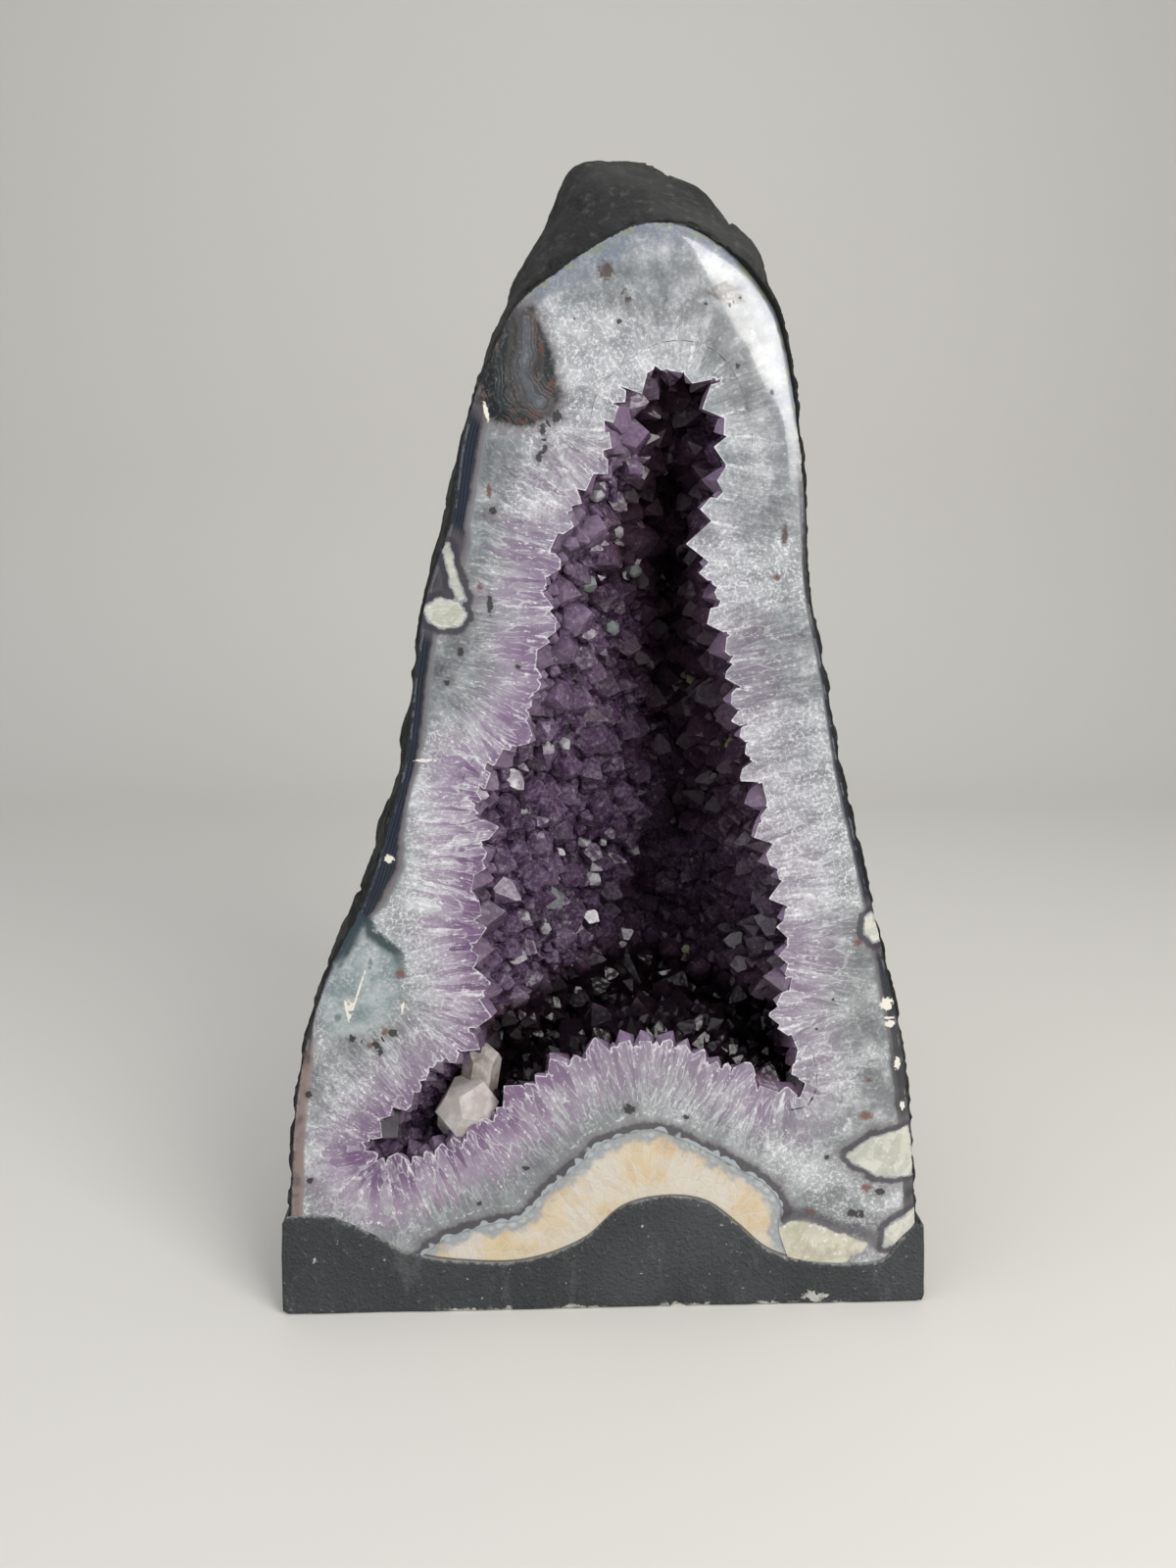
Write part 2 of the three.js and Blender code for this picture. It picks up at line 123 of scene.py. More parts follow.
def soft_noise(points: Array, size: float, seed: int, octaves: int = 1) -> Array:
    """Smooth noise between about -1 and 1, whose lumps are about one size across.

    Args:
        points: Places, shape (n, 3).
        size: Width of the lumps.
        seed: Picks the noise.
        octaves: How many finer layers are added, each half as large.

    Returns:
        One value for each place.
    """
    total = np.zeros(len(points))
    strength = 1.0
    for octave in range(octaves):
        scaled = points / (size / 2**octave)
        base = np.floor(scaled).astype(np.int64)
        share = scaled - base
        share = share * share * (3.0 - 2.0 * share)
        value = np.zeros(len(points))
        for corner in itertools.product((0, 1), repeat=3):
            weight = np.prod(np.where(np.array(corner) == 1, share, 1.0 - share), axis=1)
            value += weight * lattice_hash(base + np.array(corner), seed + octave * 17)
        total += strength * (value * 2.0 - 1.0)
        strength *= 0.5
    return total


def chipped(points: Array, size: float, seed: int) -> Array:
    """Noise made of flat tilted facets with low steps between them, as on split rock.

    Args:
        points: Places, shape (n, 3).
        size: Width of the facets.
        seed: Picks the facets.

    Returns:
        One height for each place, mostly between -1 and 1.
    """
    scaled = points / size
    base = np.floor(scaled).astype(np.int64)
    nearest = np.full(len(points), 1e9)
    height = np.zeros(len(points))
    for offset in itertools.product((-1, 0, 1), repeat=3):
        cell = base + np.array(offset)
        middle = cell + np.stack([lattice_hash(cell, seed + k) for k in range(3)], axis=1)
        away = scaled - middle
        distance = np.sum(away * away, axis=1)
        tilt = np.stack([lattice_hash(cell, seed + 3 + k) * 2.0 - 1.0 for k in range(3)], axis=1)
        level = lattice_hash(cell, seed + 6) - 0.5 + np.sum(away * tilt, axis=1)
        closer = distance < nearest
        nearest = np.where(closer, distance, nearest)
        height = np.where(closer, level, height)
    return height


# Curves on the sawn face and in space


class Curve:
    """A smooth line through given points, measured along its length."""

    def __init__(
        self, points: Sequence[Sequence[float]], closed: bool = False, step: float = 1.5
    ) -> None:
        """Works out the line once, as a fine chain of short steps.

        Args:
            points: The points that the line passes through.
            closed: Whether it comes back to its first point.
            step: Length of the steps.
        """
        given = np.array(points, float)
        count = len(given) if closed else len(given) - 1
        pieces = []
        for i in range(count):
            four = np.arange(i - 1, i + 3)
            p0, p1, p2, p3 = given[four % len(given) if closed else np.clip(four, 0, len(given) - 1)]
            t = np.linspace(0.0, 1.0, 16, endpoint=False)[:, None]
            bend = 2.0 * p1 + (p2 - p0) * t
            bend += (2.0 * p0 - 5.0 * p1 + 4.0 * p2 - p3) * t**2
            bend += (3.0 * p1 - p0 - 3.0 * p2 + p3) * t**3
            pieces.append(0.5 * bend)
        chain = np.vstack(pieces + [given[:1] if closed else given[-1:]])
        lengths = np.concatenate([[0.0], np.cumsum(np.linalg.norm(np.diff(chain, axis=0), axis=1))])
        self.length = float(lengths[-1])
        self.closed = closed
        self._chain = chain
        self._shares = lengths / self.length
        self.points = self.at(np.linspace(0.0, 1.0, max(8, round(self.length / step)) + 1))

    def at(self, shares: Array) -> Array:
        """Points at the given shares of the length."""
        shares = np.mod(shares, 1.0) if self.closed else np.clip(shares, 0.0, 1.0)
        columns = [np.interp(shares, self._shares, column) for column in self._chain.T]
        return np.stack(columns, axis=-1)

    def tangent(self, shares: Array) -> Array:
        """Directions of travel at the given shares of the length.

        Args:
            shares: Places along the line.

        Returns:
            One direction for each place.
        """
        probe = 0.002
        if self.closed:
            return unit(self.at(shares + probe) - self.at(shares - probe))
        ahead, behind = np.clip(shares + probe, 0.0, 1.0), np.clip(shares - probe, 0.0, 1.0)
        return unit(self.at(ahead) - self.at(behind))

    def inward(self, shares: Array) -> Array:
        """Directions square to the line, to the right of its travel."""
        along = self.tangent(shares)
        return np.stack([along[:, 1], -along[:, 0]], axis=1)


def nearest_on(chain: Array, targets: Array) -> tuple[Array, Array]:
    """Finds the nearest place on a chain of points for each target.

    Args:
        chain: The chain's points, shape (m, 2).
        targets: The places to measure from, shape (n, 2).

    Returns:
        The distance to the chain and the distance travelled along it.
    """
    starts, steps = chain[:-1], np.diff(chain, axis=0)
    spans = np.linalg.norm(steps, axis=1)
    travelled = np.concatenate([[0.0], np.cumsum(spans)[:-1]])
    squares = np.maximum(spans**2, 1e-12)
    distance, along = np.empty(len(targets)), np.empty(len(targets))
    for first in range(0, len(targets), BLOCK):
        block = targets[first : first + BLOCK]
        away = block[:, None, :] - starts[None, :, :]
        share = np.clip(np.einsum("nmk,mk->nm", away, steps) / squares, 0.0, 1.0)
        gap = away - share[:, :, None] * steps[None, :, :]
        squared = np.einsum("nmk,nmk->nm", gap, gap)
        best = np.argmin(squared, axis=1)
        row = np.arange(len(block))
        distance[first : first + BLOCK] = np.sqrt(squared[row, best])
        along[first : first + BLOCK] = travelled[best] + share[row, best] * spans[best]
    return distance, along


def within_edges(starts: Array, ends: Array, targets: Array) -> Array:
    """Tells which targets lie inside the area that some edges enclose.

    Args:
        starts: The edges' first ends, shape (m, 2).
        ends: Their other ends, shape (m, 2).
        targets: The places to test, shape (n, 2).

    Returns:
        True for each target inside.
    """
    result = np.zeros(len(targets), bool)
    x, y = targets[:, 0], targets[:, 1]
    for (x0, y0), (x1, y1) in zip(starts, ends):
        if y0 == y1:
            continue
        crosses = (y0 > y) != (y1 > y)
        result ^= crosses & (x < (x1 - x0) * (y - y0) / (y1 - y0) + x0)
    return result


def inside(loop: Array, targets: Array) -> Array:
    """Tells which targets lie inside a closed loop of points."""
    return within_edges(loop, np.roll(loop, -1, axis=0), targets)


def beyond(
    loop: Sequence[Sequence[float]], targets: Array, closed: bool = True
) -> Array:
    """Distance outside a loop of points, negative inside it.

    Args:
        loop: The loop's points.
        targets: The places to measure from, shape (n, 2).
        closed: Whether the step from its last point to its first counts as part of it.

    Returns:
        The distance of each target.
    """
    points = np.array(loop, float)
    distance, _ = nearest_on(np.vstack([points, points[:1]]) if closed else points, targets)
    return np.where(inside(points, targets), -distance, distance)


# The form that all pieces share, from the same sizes as the solids


@dataclass(frozen=True)
class RockForm:
    """The rock's outer form, its sawn face and the cement's top edge."""

    front_y: float = -118.0
    back_y: float = 122.0
    lean: float = math.radians(5.0)
    crown_depth: float = 0.42
    back_height_share: float = 0.56
    back_narrowing: float = 0.72
    fall_power: float = 1.9
    narrow_power: float = 3.4
    lump_height: float = 3.5
    lump_centre_z: float = 260.0
    axis_slope: float = 0.038
    cement_back_z: float = 48.0
    cement_calm: Pair = (-58.0, 92.0)
    face_outline: Outline = (
        (-160, 0), (-159, 50), (-155, 104), (-148, 142), (-138, 172), (-119, 209), (-108, 240),
        (-97, 280), (-92, 318), (-85, 356), (-74, 388), (-67, 428), (-56, 458), (-42, 485),
        (-24, 500), (-6, 512), (16, 522), (38, 521), (58, 511), (73, 497), (84, 477), (91, 440),
        (95, 398), (98, 357), (107, 314), (115, 272), (126, 229), (136, 190), (148, 140),
        (154, 96), (158, 46), (160, 0),
    )
    crown_outline: Outline = (
        (-158, 0), (-158, 60), (-152, 120), (-137, 180), (-114, 245), (-100, 300), (-90, 350),
        (-78, 400), (-65, 448), (-55, 477), (-45, 503), (-28, 538), (-12, 563), (6, 570),
        (26, 568), (45, 558), (65, 540), (82, 517), (92, 488), (97, 450), (100, 400), (104, 350),
        (116, 285), (132, 225), (146, 165), (154, 100), (158, 46), (158, 0),
    )
    cement_edge: Outline = (
        (-165, 50), (-140, 51), (-119, 42), (-98, 31), (-70, 26), (-40, 26), (-12, 36), (8, 53),
        (30, 58), (50, 55), (66, 43), (82, 29), (105, 22), (138, 22), (150, 34), (165, 46),
    )
    seam_edge: Outline = (
        (-94, 27), (-80, 38), (-58, 45), (-42, 48), (-30, 61), (-14, 75), (-2, 86), (21, 93),
        (36, 88), (50, 81), (66, 72), (80, 63), (88, 52), (87, 40), (92, 24),
    )

    def __post_init__(self) -> None:
        """Prepares the curves once."""
        object.__setattr__(self, "face_arch", Curve(self.face_outline))
        object.__setattr__(self, "crown_arch", Curve(self.crown_outline))
        object.__setattr__(self, "cement_line", Curve(self.cement_edge))
        object.__setattr__(self, "seam_line", Curve(self.seam_edge))

    def face_y(self, z: Array | float) -> Array | float:
        """How far back the sawn face lies at a height."""
        return self.front_y + np.asarray(z, float) * math.tan(self.lean)

    def on_face(self, flat: Array, behind: Array | float = 0.0) -> Array:
        """Puts points given by x and z on the sawn face, or some way behind it."""
        return np.stack([flat[:, 0], self.face_y(flat[:, 1]) + behind, flat[:, 1]], axis=1)

    def ring(self, t: float, inset: float, shares: Array) -> Array:
        """One arch of the rock, from its left foot over the top to its right foot.

        Args:
            t: Depth share, from the face (0) to the back (1).
            inset: How far the arch is drawn in, as by the rind.
            shares: Places along the arch.

        Returns:
            The arch's points, shape (n, 3).
        """
        depth = max(0.0, t)
        rise = math.sin(math.pi / 2.0 * min(1.0, depth / self.crown_depth))
        fall = max(0.0, (depth - self.crown_depth) / (1.0 - self.crown_depth)) ** self.fall_power
        narrow = math.sqrt(1.0 - self.back_narrowing * depth**self.narrow_power)
        low = 1.0 - (1.0 - self.back_height_share) * fall
        arches = []
        for arch in (self.face_arch, self.crown_arch):
            moved = arch.at(shares) + arch.inward(shares) * inset
            arches.append(np.stack([moved[:, 0], np.maximum(0.0, moved[:, 1])], axis=1))
        point = lerp(arches[0], arches[1], rise)
        axis = self.axis_slope * point[:, 1]
        x = axis + (point[:, 0] - axis) * narrow
        z = point[:, 1] * low
        y = lerp(self.face_y(z), self.back_y, t)
        lump = np.sin(x * 0.061 + z * 0.037 + 1.3) * np.sin(y * 0.052 - z * 0.029)
        lump += 0.6 * np.sin(z * 0.083 + y * 0.071 + 0.7) * np.sin(x * 0.097 - y * 0.043 + 2.1)
        lump *= self.lump_height * min(1.0, depth * 4.0) * np.minimum(1.0, point[:, 1] / 60.0)
        upward = np.maximum(0.0, z - self.lump_centre_z * low)
        out = np.stack([x - axis, np.zeros_like(x), upward], axis=1)
        return np.stack([x, y, z], axis=1) + unit(out) * lump[:, None]

    def cement_top(self, x: Array, y: Array) -> Array:
        """Height of the cement's top: waves at the face, level towards the back."""
        line = self.cement_line.points
        edge = np.interp(x, line[:, 0], line[:, 1])
        return lerp(edge, self.cement_back_z, smoothstep(y, *self.cement_calm))


@dataclass(frozen=True)
class Hollow:
    """The wall of the hollow that the crystals line, as a surface of two shares."""

    form: RockForm
    crust_thickness: float = 6.0
    deep_half_width: float = 12.0
    deep_spread: float = 0.09
    gentle_side: float = 0.1
    steep_side: float = 1.1
    probe: float = 0.012
    least_share: float = 0.02
    swelling_band: Pair = (0.25, 0.7)
    hump: tuple[float, float, float, float, float] = (22.0, 60.0, 62.0, 150.0, 200.0)
    edge_outline: Outline = (
        (27, 462), (50, 457), (62, 428), (56, 396), (52, 365), (61, 335), (68, 300), (76, 262),
        (87, 222), (93, 185), (89, 150), (98, 124), (96, 108), (76, 112), (50, 125), (22, 134),
        (-10, 127), (-40, 110), (-65, 89), (-90, 77), (-114, 70), (-123, 86), (-108, 109),
        (-88, 125), (-71, 141), (-65, 165), (-69, 195), (-63, 225), (-63, 266), (-45, 287),
        (-35, 310), (-32, 335), (-30, 366), (-20, 396), (-3, 418), (2, 444),
    )
    deep_outline: Spots = (
        (34, 428, 52), (40, 370, 82), (46, 300, 112), (40, 235, 138), (28, 175, 146), (14, 122, 96),
    )
    swellings: tuple[tuple[float, float, float, float], ...] = (
        (6, 243, 30, 20), (40, 196, 24, 16), (-22, 186, 22, 10), (4, 330, 26, 10),
    )

    def __post_init__(self) -> None:
        """Prepares the curves once."""
        object.__setattr__(self, "edge_line", Curve(self.edge_outline, closed=True))
        object.__setattr__(self, "deep_line", Curve(self.deep_outline))

    def sunk(self, x: Array, z: Array) -> Array:
        """How much lower the floor lies behind the hump than on the face."""
        middle, half_width, rise, below, until = self.hump
        low = 1.0 - smoothstep(z, below, until)
        return rise * low * np.exp(-(((x - middle) / half_width) ** 2))

    def wall(self, share: Array, s: Array) -> Array:
        """Points of the wall.

        Args:
            share: Place round the hollow's edge, once round from 0 to 1.
            s: Place from the face (0) to the deepest line (1).

        Returns:
            The points, shape (n, 3).
        """
        edge = self.edge_line.at(share)
        sunk_z = edge[:, 1] - self.sunk(edge[:, 0], edge[:, 1])
        line = self.deep_line.points[::-1]
        deep_x, deep_depth = (np.interp(sunk_z, line[:, 1], line[:, k]) for k in (0, 2))
        deep_z = np.clip(sunk_z, line[0, 1], line[-1, 1])
        offset = np.stack([edge[:, 0] - deep_x, sunk_z - deep_z], axis=1)
        distance = np.maximum(np.linalg.norm(offset, axis=1), 1e-6)
        steep = lerp(self.gentle_side, self.steep_side, (1.0 + offset[:, 0] / distance) / 2.0)
        offset *= (np.maximum(self.deep_half_width, self.deep_spread * distance) / distance)[:, None]
        inward = np.maximum(0.0, s)
        x = lerp(edge[:, 0], deep_x + offset[:, 0], inward ** (1.0 + steep))
        z = lerp(edge[:, 1], deep_z + offset[:, 1], inward ** (1.0 + steep))
        depth = deep_depth * np.where(s < 0.0, s, inward ** (1.0 / (1.0 + steep)))
        push = np.zeros_like(x)
        for middle_x, middle_z, radius, height in self.swellings:
            push += height * np.exp(-((x - middle_x) ** 2 + (z - middle_z) ** 2) / radius**2)
        push *= smoothstep(inward, *self.swelling_band)
        return np.stack([x, self.form.face_y(z) + depth - push, z], axis=1)

    def normal(self, share: Array, s: Array) -> Array:
        """Directions from the wall into the open hollow."""
        around = self.wall(share + self.probe, s) - self.wall(share - self.probe, s)
        inward = self.wall(share, s + self.probe) - self.wall(share, s - self.probe)
        return unit(np.cross(inward, around))

    def behind(self, share: Array, s: Array) -> Array:
        """Points of the wall moved back by the crust's thickness."""
        normal = self.normal(share, np.maximum(s, self.least_share))
        return self.wall(share, s) - normal * self.crust_thickness


# Meshes


def new_object(
    name: str,
    points: Array,
    faces: Iterable[Sequence[int]],
    smooth: bool = True,
) -> Piece:
    """Makes a mesh object from points in millimetres.

    Args:
        name: The object's name.
        points: The corners, shape (n, 3), in millimetres.
        faces: The corners of each face, by number.
        smooth: Whether the faces are shaded smooth.

    Returns:
        The object, linked to the scene.
    """
    mesh = bpy.data.meshes.new(name)
    mesh.from_pydata((np.asarray(points) * METRES).tolist(), [], [list(map(int, f)) for f in faces])
    mesh.validate(clean_customdata=False)
    mesh.shade_smooth() if smooth else mesh.shade_flat()
    made = bpy.data.objects.new(name, mesh)
    bpy.context.scene.collection.objects.link(made)
    return made


@contextmanager
def edited(piece: Piece) -> Iterator[bmesh.types.BMesh]:
    """Opens the mesh of an object for changes, and writes it back.

    Args:
        piece: The object.

    Returns:
        The mesh, open for changes.
    """
    work = bmesh.new()
    work.from_mesh(piece.data)
    yield work
    work.to_mesh(piece.data)
    work.free()


def apply_modifiers(piece: Piece) -> None:
    """Puts the shape that an object's modifiers give it into its mesh.

    Args:
        piece: The object.
    """
    graph = bpy.context.evaluated_depsgraph_get()
    old, piece.data = piece.data, bpy.data.meshes.new_from_object(piece.evaluated_get(graph))
    piece.modifiers.clear()
    bpy.data.meshes.remove(old)


def corners_of(piece: Piece) -> Array:
    """The corners of an object's mesh, in millimetres."""
    flat = np.empty(len(piece.data.vertices) * 3)
    piece.data.vertices.foreach_get("co", flat)
    return flat.reshape(-1, 3) / METRES


def set_values(piece: Piece, name: str, values: Array, domain: str = "POINT") -> None:
    """Stores one number or one vector for each corner or face under a name.

    Args:
        piece: The object whose mesh holds them.
        name: The name that the finish reads.
        values: Shape (n,) for numbers or (n, 3) for vectors.
        domain: POINT for corners or FACE for faces.
    """
    vector = values.ndim == 2
    kind = "FLOAT_VECTOR" if vector else "FLOAT"
    layer = piece.data.attributes.new(name, kind, domain)
    layer.data.foreach_set("vector" if vector else "value", values.astype(np.float32).ravel())


def grid_faces(
    rows: int, columns: int, round_trip: bool = False, first: int = 0
) -> list[tuple[int, ...]]:
    """Quads over a grid of corners that are numbered row by row.

    Args:
        rows: Number of rows of corners.
        columns: Number of corners in a row.
        round_trip: Whether the last column joins the first.
        first: Number of the grid's first corner.

    Returns:
        The corners of each quad.
    """
    faces = []
    last = columns if round_trip else columns - 1
    for row in range(rows - 1):
        for i in range(last):
            j = (i + 1) % columns
            a, b = first + row * columns, first + (row + 1) * columns
            faces.append((a + i, a + j, b + j, b + i))
    return faces


def rung_faces(ring: Sequence[int]) -> list[tuple[int, ...]]:
    """Closes a long narrow ring with triangles from side to side, starting at its first corner.

    Args:
        ring: The ring's corners, by number.

    Returns:
        The corners of each triangle.
    """
    left, right = 1, len(ring) - 1
    faces = [(ring[0], ring[left], ring[right])]
    while right - left > 1:
        faces.append((ring[left], ring[left + 1], ring[right]))
        left += 1
        if right - left > 1:
            faces.append((ring[left], ring[right - 1], ring[right]))
            right -= 1
    return faces


def fill_edges(
    border: Array, edges: Sequence[tuple[int, int]], spacing: float, margin: float
) -> tuple[Array, list[tuple[int, ...]]]:
    """Fills the area that flat edges enclose with small even triangles.

    Args:
        border: The edges' corners, shape (m, 2).
        edges: The two corners of each edge, by number.
        spacing: Distance between the inner points.
        margin: How far the inner points stay off the edges' corners.

    Returns:
        The points, with the border's first and in order, and the triangles.
    """
    starts, ends = border[[a for a, _ in edges]], border[[b for _, b in edges]]
    low, high = border.min(axis=0), border.max(axis=0)
    rows = np.arange(low[1], high[1], spacing * math.sqrt(3.0) / 2.0)
    columns = np.arange(low[0], high[0], spacing)
    lattice = np.array([(x + (k % 2) * spacing / 2.0, y) for k, y in enumerate(rows) for x in columns])
    lattice = lattice[within_edges(starts, ends, lattice)]
    clear = np.full(len(lattice), True)
    for first in range(0, len(lattice), BLOCK):
        block = lattice[first : first + BLOCK]
        gap = ((block[:, None, :] - border[None, :, :]) ** 2).sum(axis=2).min(axis=1)
        clear[first : first + BLOCK] = gap > margin**2
    points = np.vstack([border, lattice[clear]])
    made = delaunay_2d_cdt([Vector(p) for p in points], list(edges), [], 0, 1e-6)
    corners = np.array([tuple(p) for p in made[0]])
    triangles = np.array(made[2])
    kept = within_edges(starts, ends, corners[triangles].mean(axis=1))
    return corners, [tuple(t) for t in triangles[kept]]


def fill_flat(
    loops: Sequence[Array], spacing: float, margin: float
) -> tuple[Array, list[tuple[int, ...]]]:
    """Fills the area between closed flat loops with small even triangles.

    Args:
        loops: The loops' points, each of shape (m, 2). Loops inside others are holes.
        spacing: Distance between the inner points.
        margin: How far the inner points stay off the loops.

    Returns:
        The points, with the loops' own first and in order, and the triangles.
    """
    edges, first = [], 0
    for loop in loops:
        edges += [(first + i, first + (i + 1) % len(loop)) for i in range(len(loop))]
        first += len(loop)
    return fill_edges(np.vstack(loops), edges, spacing, margin)


def grid_normals(grid: Array) -> Array:
    """Directions square to a grid of points, shape (rows, columns, 3)."""
    return unit(np.cross(np.gradient(grid, axis=1), np.gradient(grid, axis=0)))


# Shader maths


def sum_method(operation: str, swapped: bool = False) -> Callable[..., Value]:
    """Makes a method that adds one Math node for a value and another one.

    Args:
        operation: What the node works out.
        swapped: Whether the other value comes first.

    Returns:
        The method.
    """

    def method(self: Value, other: Value | float = 0.0) -> Value:
        """Adds the node."""
        first, second = (other, self) if swapped else (self, other)
        return self.tree.node("ShaderNodeMath", {"operation": operation}, {0: first, 1: second})

    return method


class Value:
    """A number in a node tree that can be used in plain sums."""

    __add__, __radd__ = sum_method("ADD"), sum_method("ADD", True)
    __sub__, __rsub__ = sum_method("SUBTRACT"), sum_method("SUBTRACT", True)
    __mul__, __rmul__ = sum_method("MULTIPLY"), sum_method("MULTIPLY", True)
    least, most = sum_method("MINIMUM"), sum_method("MAXIMUM")
    wave = sum_method("SINE")

    def __init__(self, tree: Tree, socket: bpy.types.NodeSocket) -> None:
        """Wraps an output socket of a tree."""
        self.tree = tree
        self.socket = socket

    def step(self, low: float, high: float) -> Value:
        """Goes smoothly from 0 at low to 1 at high, or back where high is below low.

        Args:
            low: Where it is 0.
            high: Where it is 1.

        Returns:
            The share from 0 to 1.
        """
        if low > high:
            return 1.0 - self.step(high, low)
        return self.tree.node(
            "ShaderNodeMapRange",
            {"interpolation_type": "SMOOTHSTEP"},
            {"Value": self, "From Min": low, "From Max": high},
        )


def tone(code: str) -> tuple[float, float, float, float]:
    """Turns a colour code such as "8a6fa0" into a linear colour."""
    shares = [int(code[i : i + 2], 16) / 255.0 for i in (0, 2, 4)]
    linear = [s / 12.92 if s <= 0.04045 else ((s + 0.055) / 1.055) ** 2.4 for s in shares]
    return linear[0], linear[1], linear[2], 1.0


class Tree:
    """A material under construction."""

    def __init__(self, name: str) -> None:
        """Starts an empty material.

        Args:
            name: The material's name.
        """
        self.material = bpy.data.materials.new(name)
        self.material.use_nodes = True
        self.nodes = self.material.node_tree.nodes
        self.links = self.material.node_tree.links
        self.nodes.clear()
        self.output = self.nodes.new("ShaderNodeOutputMaterial")

    def node(
        self,
        kind: str,
        settings: dict[str, object] | None = None,
        sockets: dict[str | int, object] | None = None,
        output: str | int = 0,
    ) -> Value:
        """Adds a node.

        Args:
            kind: The node's type.
            settings: Its own settings, set before its sockets.
            sockets: Values or links for its inputs, by name or number.
            output: The output that is wanted.

        Returns:
            The wanted output.
        """
        made = self.nodes.new(kind)
        for key, value in (settings or {}).items():
            if key == "stops":
                self._set_stops(made.color_ramp, value)
            else:
                setattr(made, key, value)
        for key, value in (sockets or {}).items():
            if isinstance(value, Value):
                self.links.new(value.socket, made.inputs[key])
            else:
                made.inputs[key].default_value = value
        return Value(self, made.outputs[output])

    @staticmethod
    def _set_stops(ramp: bpy.types.ColorRamp, stops: Sequence[tuple[float, str]]) -> None:
        """Sets a ramp's stops.

        Args:
            ramp: The ramp.
            stops: The place and the colour code of each stop.
        """
        while len(ramp.elements) < len(stops):
            ramp.elements.new(1.0)
        for element, (place, code) in zip(ramp.elements, stops):
            element.position = place
            element.color = tone(code)

    def value(self, name: str) -> Value:
        """A number stored on the mesh under a name."""
        return self.node("ShaderNodeAttribute", {"attribute_name": name}, output="Fac")

    def vector(self, name: str) -> Value:
        """A vector stored on the mesh under a name."""
        return self.node("ShaderNodeAttribute", {"attribute_name": name}, output="Vector")

    def place(self) -> Value:
        """The place on the object, in millimetres."""
        where = self.node("ShaderNodeTexCoord", output="Object")
        return self.vector_math("SCALE", where, scale=1.0 / METRES)

    def vector_math(
        self, operation: str, a: Value, b: Value | Triple = (0.0, 0.0, 0.0), scale: float = 1.0
    ) -> Value:
        """Adds one Vector Math node.

        Args:
            operation: What the node works out.
            a: The first vector.
            b: The second vector.
            scale: The factor, for SCALE.

        Returns:
            The vector, or the number where the operation gives one.
        """
        output = "Value" if operation in ("LENGTH", "DISTANCE", "DOT_PRODUCT") else "Vector"
        sockets: dict[str | int, object] = {0: a, 1: b}
        if operation == "SCALE":
            sockets = {0: a, "Scale": scale}
        return self.node("ShaderNodeVectorMath", {"operation": operation}, sockets, output)

    def parts(self, vector: Value) -> tuple[Value, Value, Value]:
        """The three numbers of a vector."""
        outputs = self.node("ShaderNodeSeparateXYZ", sockets={0: vector}).socket.node.outputs
        return Value(self, outputs[0]), Value(self, outputs[1]), Value(self, outputs[2])

    def joined(self, x: Value | float, y: Value | float, z: Value | float = 0.0) -> Value:
        """A vector from three numbers."""
        return self.node("ShaderNodeCombineXYZ", sockets={0: x, 1: y, 2: z})

    def noise(
        self, where: Value, size: float, detail: float = 3.0, rough: float = 0.5, warp: float = 0.0
    ) -> Value:
        """Noise from 0 to 1 whose lumps are about one size across, in millimetres.

        Args:
            where: The place.
            size: Width of the lumps.
            detail: How many finer layers.
            rough: How strong the finer layers are.
            warp: How far the lumps are twisted.

        Returns:
            The noise.
        """
        sizes = {"Scale": 1.0 / size, "Detail": detail, "Roughness": rough, "Distortion": warp}
        return self.node(
            "ShaderNodeTexNoise", {"noise_dimensions": "3D"}, {"Vector": where, **sizes}, "Fac"
        )

    def cells(self, where: Value, size: float, feature: str = "F1", output: str = "Distance") -> Value:
        """Distances or colours of a pattern of cells, each about one size across."""
        sockets = {"Vector": where, "Scale": 1.0 / size}
        return self.node("ShaderNodeTexVoronoi", {"feature": feature}, sockets, output)

    def mix(self, share: Value | float, a: Value | str, b: Value | str) -> Value:
        """A colour between two colours, each given as a link or as a code."""
        a, b = (tone(colour) if isinstance(colour, str) else colour for colour in (a, b))
        return self.node("ShaderNodeMix", {"data_type": "RGBA"}, {0: share, 6: a, 7: b}, 2)

    def layers(self, base: Value | str, *coats: tuple[Value | float, Value | str]) -> Value:
        """Lays coats over a base one after another, each given as its share and its colour."""
        for share, colour in coats:
            base = self.mix(share, base, colour)
        return base

    def ramp(self, share: Value, stops: Sequence[tuple[float, str]]) -> Value:
        """A colour picked along a row of stops."""
        return self.node("ShaderNodeValToRGB", {"stops": stops}, {"Fac": share}, "Color")

    def bump(self, height: Value, distance: float, strength: float = 1.0) -> Value:
        """A surface direction bent by a height whose full range is a distance in millimetres."""
        sockets = {"Strength": strength, "Distance": distance * METRES, "Height": height}
        return self.node("ShaderNodeBump", sockets=sockets, output="Normal")

    def surface(self, **sockets: object) -> Value:
        """A Principled shader. Names are those of its sockets, with _ for a space."""
        named = {key.replace("_", " "): value for key, value in sockets.items()}
        return self.node("ShaderNodeBsdfPrincipled", sockets=named, output="BSDF")

    def finish(self, shader: Value, inner: Value | None = None) -> bpy.types.Material:
        """Ends the material with its surface, and with what fills it where it is clear.

        Args:
            shader: The surface.
            inner: What fills it.

        Returns:
            The material.
        """
        self.links.new(shader.socket, self.output.inputs["Surface"])
        if inner is not None:
            self.links.new(inner.socket, self.output.inputs["Volume"])
        return self.material


# Finishes


